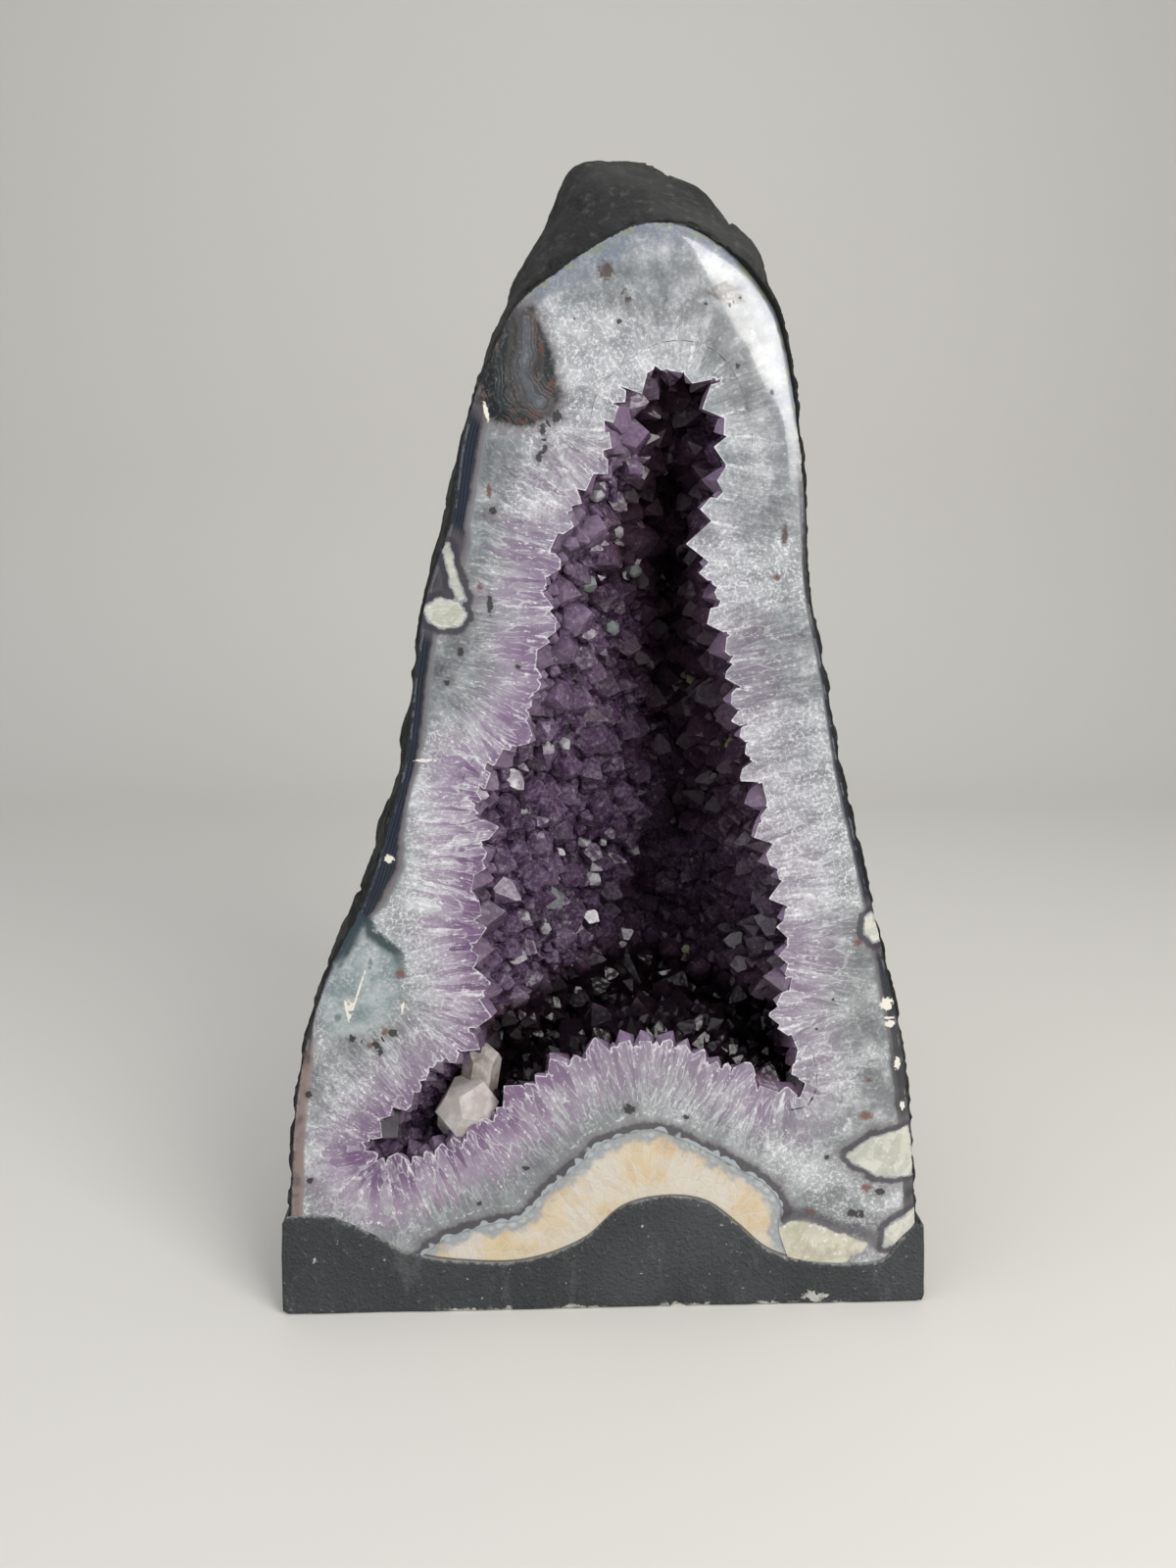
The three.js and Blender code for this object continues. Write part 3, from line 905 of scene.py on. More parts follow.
@dataclass(frozen=True)
class CementFinish:
    """Cast cement, painted dark grey: fine stipple, dust on the lip and chips along the foot."""

    body: str = "3f4244"
    shade: str = "303335"
    worn: str = "6d7172"
    chip: str = "b9b8b2"
    grit: str = "565a5c"
    dust: str = "8e8f8c"

    def material(self) -> bpy.types.Material:
        """Builds the finish.

        Returns:
            The material.
        """
        tree = Tree("cement_dark")
        where = tree.place()
        broad = tree.noise(where, 60.0, 4.0)
        fine = tree.noise(where, 3.2, 4.0, 0.65)
        grain = tree.noise(where, 1.0, 2.0, 0.6)
        scuff = tree.noise(tree.vector_math("MULTIPLY", where, (1.0, 1.0, 0.35)), 14.0, 6.0, 0.7)
        scratch = tree.noise(tree.vector_math("MULTIPLY", where, (0.12, 0.12, 1.0)), 2.4, 3.0, 0.7)
        patch = tree.noise(where, 22.0, 3.0, 0.5)
        chips = (tree.value("worn") + fine * 1.4 + scuff * 1.5 - 2.05).step(0.1, 0.25)
        chips = chips * patch.step(0.5, 0.62)
        chips = chips.most((tree.value("chip") + (fine - 0.5) * 2.4).step(0.4, 0.55))
        colour = tree.layers(
            self.shade,
            (broad.step(0.35, 0.7), self.body),
            (scuff.step(0.54, 0.7) * 0.3, self.worn),
            (scratch.step(0.64, 0.72) * scuff.step(0.48, 0.56) * 0.45, self.worn),
            (fine.step(0.56, 0.7) * 0.4, self.grit),
            (grain.step(0.62, 0.75) * 0.5, self.shade),
            (tree.cells(where, 5.5).step(0.09, 0.05) * scuff.step(0.5, 0.6) * 0.7, self.chip),
            ((tree.value("lip") + (fine - 0.5) * 1.6).step(0.5, 0.95) * 0.8, self.dust),
            (chips, self.chip),
        )
        height = fine * 0.9 + grain * 0.4 - tree.cells(where, 1.9).least(0.6) * 0.7
        shader = tree.surface(
            Base_Color=colour,
            Roughness=0.58 + scuff * 0.25,
            Normal=tree.bump(height, 1.3, 1.0),
        )
        return tree.finish(shader)


@dataclass(frozen=True)
class BasaltFinish:
    """Rough basalt skin: near black, with grey patches, and darker with green specks along the front."""

    body: str = "323231"
    deep: str = "1a1a1a"
    edge: str = "55534f"
    green: str = "4b5440"

    def material(self) -> bpy.types.Material:
        """Builds the finish.

        Returns:
            The material.
        """
        tree = Tree("basalt_rough")
        where = tree.place()
        broad = tree.noise(where, 45.0, 5.0, 0.6)
        fine = tree.noise(where, 5.0, 5.0, 0.65)
        grain = tree.noise(where, 1.4, 3.0, 0.6)
        pits = tree.cells(where, 3.2)
        front = tree.value("front")
        colour = tree.layers(
            self.deep,
            (broad.step(0.35, 0.68), self.body),
            (fine.step(0.5, 0.75) * 0.55, self.edge),
            (front * 0.8, self.deep),
            ((fine * front).step(0.55, 0.66) * 0.5, self.green),
        )
        height = fine * 0.55 + grain * 0.25 + pits.least(0.45) * 0.5
        shader = tree.surface(
            Base_Color=colour,
            Roughness=0.78 + grain * 0.18,
            Specular_IOR_Level=0.35,
            Normal=tree.bump(height, 1.6, 0.9),
        )
        return tree.finish(shader)


class MarkKind(Enum):
    """The kinds of small inclusion in the polished face."""

    BLACK = "black"
    RUST = "rust"
    BROWN = "brown"
    WHITE = "white"


@dataclass(frozen=True)
class Mark:
    """One small inclusion in the polished face: its place, its half sizes and its turn in degrees."""

    x: float
    z: float
    wide: float
    tall: float
    turn: float = 0.0


@dataclass(frozen=True)
class FaceGrain:
    """What the layers of the polished look share: the material, the place on it and three noises."""

    tree: Tree
    where: Value
    mottle: Value
    speckle: Value
    threads: Value


@dataclass(frozen=True)
class FaceLook:
    """The look of the polished section through agate, quartz and the roots of the crystals."""

    milk: str = "b6b8bb"
    grey: str = "838789"
    shadow: str = "54585a"
    flake: str = "f0f0f2"
    lilac: str = "a491a8"
    purple: str = "6b4c73"
    deep: str = "432b4c"
    navy: str = "151a27"
    slate: str = "4d5568"
    haze: str = "737b8c"
    halo: str = "6f686b"
    clay: str = "8d7a74"
    lichen: str = "8a8c62"
    ink: str = "121313"
    rust: str = "6c4031"
    brown: str = "4c3d36"
    bone: str = "e4dfd4"
    blue_rim: str = "a2a8ad"
    teal: str = "24393f"
    mist: str = "a3adae"
    plum: str = "36323a"
    charcoal: str = "2a2b31"
    moss: str = "40575b"
    mist_shade: str = "75868a"
    mist_light: str = "cdd2d1"
    cream: str = "d0ccba"
    sand: str = "a8a283"
    straw: str = "a9a69a"
    chalk: str = "d6d4c8"
    chalk_shade: str = "b3b5a6"
    chalk_line: str = "8f948f"
    eye_line: str = "9c9894"
    eye_dust: str = "8a8785"
    eye_rings: tuple[tuple[float, str], ...] = (
        (0.0, "62666c"), (0.16, "44464a"), (0.24, "4d4a4a"), (0.33, "35312f"),
        (0.44, "414141"), (0.52, "25292b"), (0.68, "2b3132"), (0.8, "14181a"),
    )

    def shader(self, tree: Tree) -> Value:
        """Builds the look from the distances stored on the mesh.

        Args:
            tree: The material under construction.

        Returns:
            The shader.
        """
        where = tree.place()
        edge, frost, pale = tree.value("edge"), tree.value("frost"), tree.value("pale")
        blotch = tree.noise(where, 30.0, 4.0, 0.6)
        mottle = tree.noise(where, 9.0, 4.0, 0.6)
        speckle = tree.noise(where, 1.9, 3.0, 0.7)

        # Needles run from the agate towards the hollow. Each has its own shade and clarity
        sway = (tree.noise(where, 24.0, 3.0, 0.6) - 0.5) * 6.0
        fibre = tree.vector_math("ADD", tree.vector("fibre"), tree.joined(sway, sway, edge * 0.17))
        broad_needle, *_ = tree.parts(tree.cells(fibre, 3.4, output="Color"))
        fine_needle, *_ = tree.parts(tree.cells(fibre, 1.35, output="Color"))
        gaps = tree.cells(fibre, 3.4, "DISTANCE_TO_EDGE")
        streaks = tree.noise(fibre, 1.3, 3.0, 0.7)
        strength = tree.value("violet")
        near = (edge + (mottle - 0.5) * 44.0).step(52.0, 12.0)
        wiry = near * (0.35 + strength.step(0.0, 0.6) * 0.65)

        clouds = tree.noise(where, 15.0, 2.0, 0.5)
        clarity = blotch * 0.95 + clouds * 0.5 + mottle * 0.3 + (speckle - 0.5) * 0.4 - 0.5
        needles = broad_needle * 0.42 + fine_needle * 0.36 + (streaks - 0.5) * 0.9
        clarity = clarity * (1.0 - wiry * 0.6) + needles * wiry * 0.66 + frost * 0.6

        # Crushed-ice crackle: bright grains and hairlines inside the quartz
        grains = tree.cells(where, 1.7).step(0.42, 0.16) * speckle.step(0.46, 0.6)
        hairs = tree.cells(where, 2.7, "DISTANCE_TO_EDGE").step(0.1, 0.02) * speckle.step(0.44, 0.56)
        icy = (blotch + mottle * 0.5 + frost).step(0.62, 0.95)

        # Purple deepens towards the tips and stays clear between the white needles
        depth = edge + (mottle - 0.5) * 15.0 + (broad_needle - 0.5) * 13.0
        clear = 1.0 - clarity.step(0.3, 0.95) * 0.55
        tips = depth.step(8.0, -8.0) * tree.value("tint") * strength.step(0.5, 1.4)

        # Each crystal's sides show as pale seams that run into its tip, and a painted highlight lines the
        # cut edge where the sawn face meets the open crystal faces
        seam = tree.value("side") + (speckle - 0.5) * 0.2 + (mottle - 0.5) * 0.3
        seams = seam.step(0.86, 0.99) * (edge + (streaks - 0.5) * 24.0).step(12.0, 2.0)
        seams = seams.most(tree.value("tip").step(0.25, 0.9))

        shades = ((0.06, self.shadow), (0.34, self.grey), (0.63, self.milk), (0.95, self.flake))
        colour = tree.layers(
            tree.ramp(clarity, shades),
            (grains.most(hairs) * (0.08 + icy * 0.6) * (1.0 - pale * 0.8), self.flake),
            (depth.step(33.0, 5.0) * strength.least(1.0) * clear * 0.85, self.lilac),
            (depth.step(17.0, -5.0) * strength.step(0.15, 1.15) * clear * 0.95, self.purple),
            (tips * 0.6, self.deep),
            (streaks.step(0.56, 0.66) * speckle.step(0.46, 0.6) * wiry * 0.8, self.flake),
            (gaps.step(0.07, 0.0) * wiry * mottle.step(0.42, 0.58) * 0.4, self.flake),
            (seams * 0.6, self.flake),
        )
        grain = FaceGrain(tree, where, mottle, speckle, streaks)
        colour = self._agate(grain, colour, pale)
        colour = self._eye(grain, colour)
        colour = self._calcite(grain, colour)
        colour, pitted = self._marks(grain, colour)
        polish = (mottle + blotch * 0.5).step(0.5, 0.95)
        return tree.surface(
            Base_Color=tree.mix(tree.value("lining") * 0.9, colour, self.deep),
            Roughness=0.22 + speckle.step(0.58, 0.75) * 0.1 + pitted * 0.4,
            IOR=1.54,
            Coat_Weight=0.15 + polish * 0.5,
            Coat_Roughness=0.05,
            Subsurface_Weight=0.1,
            Subsurface_Radius=(0.004, 0.004, 0.006),
            Subsurface_Scale=1.0,
            Normal=tree.bump(speckle * 0.2 + streaks * 0.25 - pitted * 1.5, 0.1, 0.7),
        )

    def _agate(self, grain: FaceGrain, colour: Value, pale: Value) -> Value:
        """Lays the agate band over the colour, along the rock's outline.

        Args:
            grain: What the layers share.
            colour: The quartz behind the band.
            pale: Where the band fades into pale quartz.

        Returns:
            The colour with the band.
        """
        tree, mottle, speckle = grain.tree, grain.mottle, grain.speckle
        across, _, height = tree.parts(grain.where)
        plain = tree.value("rim")
        band = tree.value("band") + (mottle - 0.5) * 0.45
        rim = plain + (speckle - 0.5) * 1.4 + (mottle - 0.5) * 2.0
        rings = ((plain + (mottle - 0.5) * 1.2) * 4.2).wave()
        low = height.step(150.0, 122.0)
        blotch = 0.5 + mottle.step(0.38, 0.55) * 0.4
        shades = (
            (0.0, self.slate), (0.07, self.navy), (0.4, self.navy), (0.5, self.halo), (0.7, self.grey),
        )
        dark = tree.layers(
            tree.ramp(band.least(1.6) * 0.6, shades),
            (rings.step(0.55, 0.95) * 0.3, self.slate),
            (low * across.step(20.0, -20.0) * blotch, self.clay),
            (across.step(-20.0, 20.0) * (0.3 + low * 0.5), self.charcoal),
        )
        veil = (plain + (mottle - 0.5) * 30.0).step(17.0, 2.0) * pale
        patches = (mottle + speckle * 0.5).step(0.68, 0.84) * pale
        crust = (rim + (speckle - 0.5) * 5.0).step(6.0, 1.5) * patches
        contour = rim.step(2.0, 1.5) * rim.step(0.8, 1.3) * mottle.step(0.46, 0.56)
        return tree.layers(
            colour,
            (band.step(1.3, 0.95) * (1.0 - pale), dark),
            (veil * (0.45 + speckle.step(0.62, 0.4) * 0.4), self.haze),
            (rings.step(0.4, 0.9) * veil * mottle.step(0.4, 0.6) * 0.3, self.slate),
            (crust * 0.7, self.lichen),
            (contour * 0.5, self.grey),
            (rim.step(1.1, 0.3), self.ink),
        )

    def _eye(self, grain: FaceGrain, colour: Value) -> Value:
        """Lays the agate eye and the blue-green pocket of the left side over the colour.

        Args:
            grain: What the layers share.
            colour: What is behind them.

        Returns:
            The colour with both.
        """
        tree, mottle, speckle = grain.tree, grain.mottle, grain.speckle
        _, _, height = tree.parts(grain.where)
        swirl = tree.noise(grain.where, 15.0, 3.0, 0.5) - 0.5
        ragged = (mottle - 0.5) * 4.0 + (speckle - 0.5) * 1.2
        core = tree.value("core") + swirl * 12.0 + (speckle - 0.5) * 1.5 + 1.0
        lines = (core * 3.4).wave().step(0.6, 1.0) * mottle.step(0.44, 0.6)
        rings = tree.layers(
            tree.ramp(core * 0.05, self.eye_rings),
            (lines * 0.3, self.eye_line),
            (speckle.step(0.5, 0.72) * 0.25, self.eye_dust),
        )
        outline = tree.value("eye") + ragged * 1.8
        stain = outline.step(-6.0, -2.0) * outline.step(2.0, -0.5)
        stain *= (mottle + speckle * 0.5).step(0.74, 0.95)
        pocket = tree.value("teal") + ragged * 1.5
        within = pocket.step(1.0, -2.0)
        mist = tree.layers(
            self.mist_shade,
            (swirl.step(-0.12, 0.1), self.mist),
            (speckle.step(0.45, 0.62) * 0.22, self.mist_light),
        )
        shade = pocket.step(2.5, 0.0) * pocket.step(-6.0, -2.0)
        shade *= (height + ragged * 3.0).step(170.0, 186.0)
        return tree.layers(
            colour,
            (outline.step(7.0, 0.5) * 0.6, self.halo),
            (outline.step(2.0, -1.8), rings),
            (stain * 0.3, self.rust),
            (within * (0.6 + mottle.step(0.6, 0.42) * 0.3), mist),
            (within * swirl.step(0.07, 0.13) * mottle.step(0.45, 0.55) * 0.7, self.moss),
            (shade * 0.95, self.teal),
        )

    def _calcite(self, grain: FaceGrain, colour: Value) -> Value:
        """Lays the pale pockets and the dark lines round them over the colour.

        Args:
            grain: What the layers share.
            colour: What is behind them.

        Returns:
            The colour with the pockets.
        """
        tree, mottle, speckle, threads = grain.tree, grain.mottle, grain.speckle, grain.threads
        knobs = tree.cells(grain.where, 5.2)
        plain = tree.value("arch")
        line = plain + (mottle - 0.5) * 7.0
        pale_line = line.step(9.6, 8.4) * line.step(7.4, 8.4) * speckle.step(0.48, 0.6)
        vein = tree.value("vein") + (mottle - 0.5) * 2.4
        lobe = tree.value("lobe") + (mottle - 0.5) * 6.0 + (speckle - 0.5) * 2.0
        cream = tree.layers(
            self.cream,
            ((mottle + speckle * 0.3).step(0.5, 0.8) * 0.7, self.sand),
            (threads.step(0.5, 0.7) * 0.5, self.straw),
            (knobs.step(0.4, 0.15) * speckle.step(0.45, 0.6) * 0.7, self.flake),
        )
        pocket = tree.value("pocket") + (mottle - 0.5) * 5.0 + (speckle - 0.5) * 1.6
        panes, *_ = tree.parts(tree.cells(grain.where, 9.0, output="Color"))
        chalk = tree.layers(
            self.chalk_shade,
            (panes, self.chalk),
            (threads.step(0.55, 0.4) * 0.35, self.chalk_line),
            (speckle.step(0.58, 0.7) * 0.5, self.flake),
        )
        return tree.layers(
            colour,
            (line.step(17.0, 7.0) * 0.5, self.grey),
            (pale_line * mottle.step(0.42, 0.56) * 0.6, self.flake),
            (line.step(8.2, 4.5) * 0.6, self.halo),
            ((line + speckle * 2.0).step(6.4, 4.4) * 0.8, self.plum),
            ((plain + knobs * 5.0 - 2.6).step(1.6, 0.9), self.blue_rim),
            (vein.step(5.0, 1.6) * 0.75, self.plum),
            (vein.step(1.0, 0.4) * speckle.step(0.4, 0.55) * 0.6, self.slate),
            (lobe.step(3.5, 1.0) * 0.5, self.halo),
            (lobe.step(1.0, -0.6), cream),
            (pocket.step(10.0, 4.0) * 0.45, self.halo),
            (pocket.step(4.8, 3.0) * 0.85, self.plum),
            (pocket.step(1.3, 0.7) * 0.7, self.blue_rim),
            (pocket.step(0.6, -0.3), chalk),
        )

    def _marks(self, grain: FaceGrain, colour: Value) -> tuple[Value, Value]:
        """Lays the small inclusions over the colour.

        Args:
            grain: What the layers share.
            colour: What is behind them.

        Returns:
            The colour with the inclusions, and how pitted the surface is there.
        """
        tree = grain.tree
        ragged = tree.noise(grain.where, 1.5, 3.0, 0.7) - 0.5
        masks = {
            kind: tree.vector_math("LENGTH", tree.vector(f"to_{kind.value}")) + ragged * 2.2
            for kind in MarkKind
        }
        black, white = (masks[kind].step(1.1, 0.8) for kind in (MarkKind.BLACK, MarkKind.WHITE))
        colour = tree.layers(
            colour,
            (masks[MarkKind.BLACK].step(2.4, 0.9) * 0.35, self.halo),
            (masks[MarkKind.RUST].step(1.3, 0.4) * 0.85, self.rust),
            (masks[MarkKind.BROWN].step(1.4, 0.4) * 0.92, self.brown),
            (white, self.bone),
            (black * 0.92, self.ink),
        )
        return colour, black.most(white * 0.7)


@dataclass(frozen=True)
class QuartzFinish:
    """Polished milky quartz with its agate band and inclusions."""

    look: FaceLook = FaceLook()

    def material(self) -> bpy.types.Material:
        """Builds the finish.

        Returns:
            The material.
        """
        tree = Tree("quartz_polished")
        return tree.finish(self.look.shader(tree))


@dataclass(frozen=True)
class AmethystFinish:
    """See-through purple crystal, milky at its root and paler near the sawn face as painted light, with
    painted shade, painted highlights and painted glints, and the polished section where it is sawn.
    """

    look: FaceLook = FaceLook()
    # root is both pale mottling and the painted light near the sawn face; frost also paints the highlight
    # on the ridges; straw paints a reflection on marked crystals
    root: str = "a893ad"
    body: str = "6c5472"
    dark_and_cleft_shade: str = "3d2a45"
    tip: str = "503858"
    smoke_and_shade: str = "4a343d"
    painted_shadow: str = "120b10"
    frost: str = "c3b8c8"
    milky: str = "b9c2bf"
    straw: str = "b4b88a"
    painted_glint: str = "dcd9de"
    dusk: str = "41373f"
    clear_share: float = 0.3
    absorption: Triple = (0.66, 0.46, 0.74)
    density: float = 42.0

    @staticmethod
    def of_tint(tint: Value, kind: CrystalTint) -> Value:
        """Rises from 0 to 1 just below the tint of a kind of crystal."""
        return tint.step(kind.value - 0.6, kind.value - 0.4)

    def material(self) -> bpy.types.Material:
        """Builds the finish.

        Returns:
            The material.
        """
        tree = Tree("amethyst_clear")
        where = tree.place()
        tint, lift, painted_shade = tree.value("tint"), tree.value("lift"), tree.value("painted_shade")
        veil = tree.noise(where, 7.0, 4.0, 0.6)
        cloud = tree.noise(where, 30.0, 3.0)
        growth = tree.noise(tree.vector_math("MULTIPLY", where, (1.0, 1.0, 0.3)), 2.0, 3.0)
        facets = tree.cells(where, 3.6)
        shades, *_ = tree.parts(tree.cells(where, 3.6, output="Color"))
        inner = tree.noise(where, 2.4, 4.0, 0.7)

        # Paler towards the sawn face as painted light shining through the crystals, frosted in veils with
        # a painted highlight on the ridges, and painted shade in the deep crevice and on the floor behind
        # the lip
        near = (tree.value("behind") + (veil - 0.5) * 16.0).step(16.0, 0.0)
        frosted = veil.step(0.5, 0.72) * (0.2 + inner.step(0.42, 0.66) * 0.6)
        ridges = tree.value("ridge_highlight").step(0.3, 0.9) * (0.2 + inner.step(0.4, 0.6) * 0.3)
        shaded = painted_shade + (cloud - 0.5) * 0.4 + (veil - 0.5) * 0.25

        # Painted shade in the clefts between the crystals and purple up their flanks, then the smoky, the
        # pale and the marked crystals, with painted light, highlights, shade and glints among them
        colour = tree.layers(
            self.dark_and_cleft_shade,
            # Painted shade: darker low between the crystals, purple up their flanks
            ((lift + (veil - 0.5) * 6.0).step(0.0, 6.5), self.body),
            ((tint + cloud - 0.75).step(0.1, 0.6) * 0.7, self.tip),
            ((tint - cloud + 0.2).step(0.35, 0.7) * 0.45, self.smoke_and_shade),
            ((inner + shades * 0.15).step(0.5, 0.78) * 0.5, self.root),
            ((inner - shades * 0.15).step(0.46, 0.26) * 0.6, self.dark_and_cleft_shade),
            # Painted light: paler near the sawn face, where light shines through the crystals
            (near * 0.5, self.root),
            # Frost in the veils, and a painted highlight along the ridges
            (frosted.most(ridges) * 0.6, self.frost),
            # Painted shade and painted shadow in the crevice on the right and on the floor behind the lip
            (shaded.step(0.12, 0.6) * 0.75, self.smoke_and_shade),
            (shaded.step(0.5, 0.95) * 0.92, self.painted_shadow),
            (self.of_tint(tint, CrystalTint.MILKY) * 0.85, self.milky),
            # Painted reflection on straw crystals and painted white glints on bright ones
            (self.of_tint(tint, CrystalTint.STRAW_REFLECTION), self.straw),
            (self.of_tint(tint, CrystalTint.PAINTED_GLINT), self.painted_glint),
            (self.of_tint(tint, CrystalTint.DUSK) * (0.7 + veil * 0.3), self.dusk),
        )
        glint = 0.12 + (tint + shades * 0.3).step(0.8, 1.05) * 0.75
        crystal = tree.surface(
            Base_Color=colour,
            Roughness=0.16 + frosted * 0.3,
            IOR=1.54,
            Specular_IOR_Level=0.12,
            Transmission_Weight=self.clear_share,
            Subsurface_Weight=0.4,
            Subsurface_Radius=(0.006, 0.004, 0.007),
            Subsurface_Scale=1.0,
            Coat_Weight=glint * (1.0 - shaded.step(0.3, 0.9) * 0.96),
            Coat_Roughness=0.03,
            Normal=tree.bump(facets * 1.2 + growth * 0.4 + inner * 0.5, 0.35, 0.6),
        )
        sawn = self.look.shader(tree)
        both = tree.node("ShaderNodeMixShader", sockets={0: tree.value("sawn"), 1: crystal, 2: sawn})
        sockets = {"Color": (*self.absorption, 1.0), "Density": self.density}
        return tree.finish(both, tree.node("ShaderNodeVolumeAbsorption", sockets=sockets))


@dataclass(frozen=True)
class SeamFinish:
    """Polished cream calcite with a blue-white rim and fine radiating crystals."""

    cream: str = "d6c3a0"
    honey: str = "c6a982"
    bone: str = "d3ccbf"
    rim: str = "8e979e"
    grey: str = "98a09c"
    pearl: str = "c4caca"
    crack: str = "2e2b29"
    lime: str = "c9c3b6"

    def material(self) -> bpy.types.Material:
        """Builds the finish.

        Returns:
            The material.
        """
        tree = Tree("calcite_cream")
        where = tree.place()
        depth, along = tree.value("depth"), tree.value("along")
        mottle = tree.noise(where, 9.0, 5.0, 0.6)
        blotch = tree.noise(where, 24.0, 3.0)
        sway = (mottle - 0.5) * 8.0
        rays = tree.noise(tree.joined(along + sway, depth * 0.3, 0.0), 3.4, 4.0, 0.6)
        cracks = tree.cells(where, 6.0, "DISTANCE_TO_EDGE")
        knobs = tree.cells(where, 5.2)
        fan = tree.joined(along + sway * 0.8, depth * 0.22, 2.0)
        fans, *_ = tree.parts(tree.cells(fan, 3.0, output="Color"))
        fine = tree.noise(where, 2.4, 4.0, 0.65)
        inward = depth + (mottle - 0.5) * 9.0 + knobs * 4.0
        above = tree.value("above")
        scaly = (above + (mottle - 0.5) * 3.0).step(5.0, 1.0) * fine.step(0.4, 0.6)
        colour = tree.layers(
            self.bone,
            (blotch.step(0.4, 0.62), self.cream),
            ((blotch * mottle).step(0.22, 0.4) * 0.4, self.honey),
            (rays.step(0.42, 0.32) * 0.35, self.grey),
            (fans.step(0.45, 1.0) * 0.45, self.bone),
            (fans.step(0.4, 0.0) * 0.3, self.honey),
            (cracks.step(0.05, 0.02) * 0.4, self.bone),
            (inward.step(9.0, 4.5) * 0.85, self.rim),
            (inward.step(5.5, 2.5) * knobs.step(0.5, 0.2) * 0.6, self.pearl),
            (fine.step(0.56, 0.7) * 0.35, self.lime),
            (fine.step(0.42, 0.3) * 0.25, self.honey),
            (scaly * 0.5, self.lime),
            (above.step(1.3, 0.5) * 0.8, self.crack),
        )
        height = rays * 0.5 + cracks.least(0.1) * 3.0 - knobs * depth.step(9.0, 4.0) * 1.6
        shader = tree.surface(
            Base_Color=colour,
            Roughness=0.16 + rays * 0.12,
            IOR=1.52,
            Subsurface_Weight=0.12,
            Subsurface_Radius=(0.006, 0.005, 0.004),
            Subsurface_Scale=1.0,
            Normal=tree.bump(height, 0.5, 0.8),
        )
        return tree.finish(shader)


@dataclass(frozen=True)
class CalciteFinish:
    """Frosted white calcite crystal with stepped cleavage and dust in its steps."""

    body: str = "c4bab6"
    shade: str = "8d8078"
    dust: str = "776c66"
    frost: str = "e0dbd8"

    def material(self) -> bpy.types.Material:
        """Builds the finish.

        Returns:
            The material.
        """
        tree = Tree("calcite_frosted")
        where = tree.place()
        blotch = tree.noise(where, 12.0, 4.0, 0.6)
        fine = tree.noise(where, 2.0, 4.0, 0.65)
        steps = tree.noise(tree.vector_math("MULTIPLY", where, (0.4, 0.4, 2.4)), 6.0, 3.0, 0.6)
        colour = tree.layers(
            self.body,
            (tree.value("tint"), self.shade),
            (blotch.step(0.42, 0.62) * 0.7, self.frost),
            (fine.step(0.58, 0.74) * 0.5, self.shade),
            (steps.step(0.6, 0.66) * 0.25, self.dust),
        )
        shader = tree.surface(
            Base_Color=colour,
            Roughness=0.3 + fine * 0.25,
            IOR=1.5,
            Subsurface_Weight=0.25,
            Subsurface_Radius=(0.004, 0.004, 0.004),
            Subsurface_Scale=1.0,
            Transmission_Weight=0.12,
            Normal=tree.bump(fine * 0.5 + steps * 0.8, 0.35, 0.8),
        )
        return tree.finish(shader)


@dataclass(frozen=True)
class StudioFinish:
    """Plain pale floor and backdrop."""

    paint: str = "dbd8d2"
    shade: str = "cecac3"

    def material(self) -> bpy.types.Material:
        """Builds the finish.

        Returns:
            The material.
        """
        tree = Tree("studio_pale")
        soft = tree.noise(tree.place(), 400.0, 2.0)
        colour = tree.mix(soft * 0.15, self.paint, self.shade)
        return tree.finish(tree.surface(Base_Color=colour, Roughness=0.7))


# The section through the geode: what is where on the sawn face


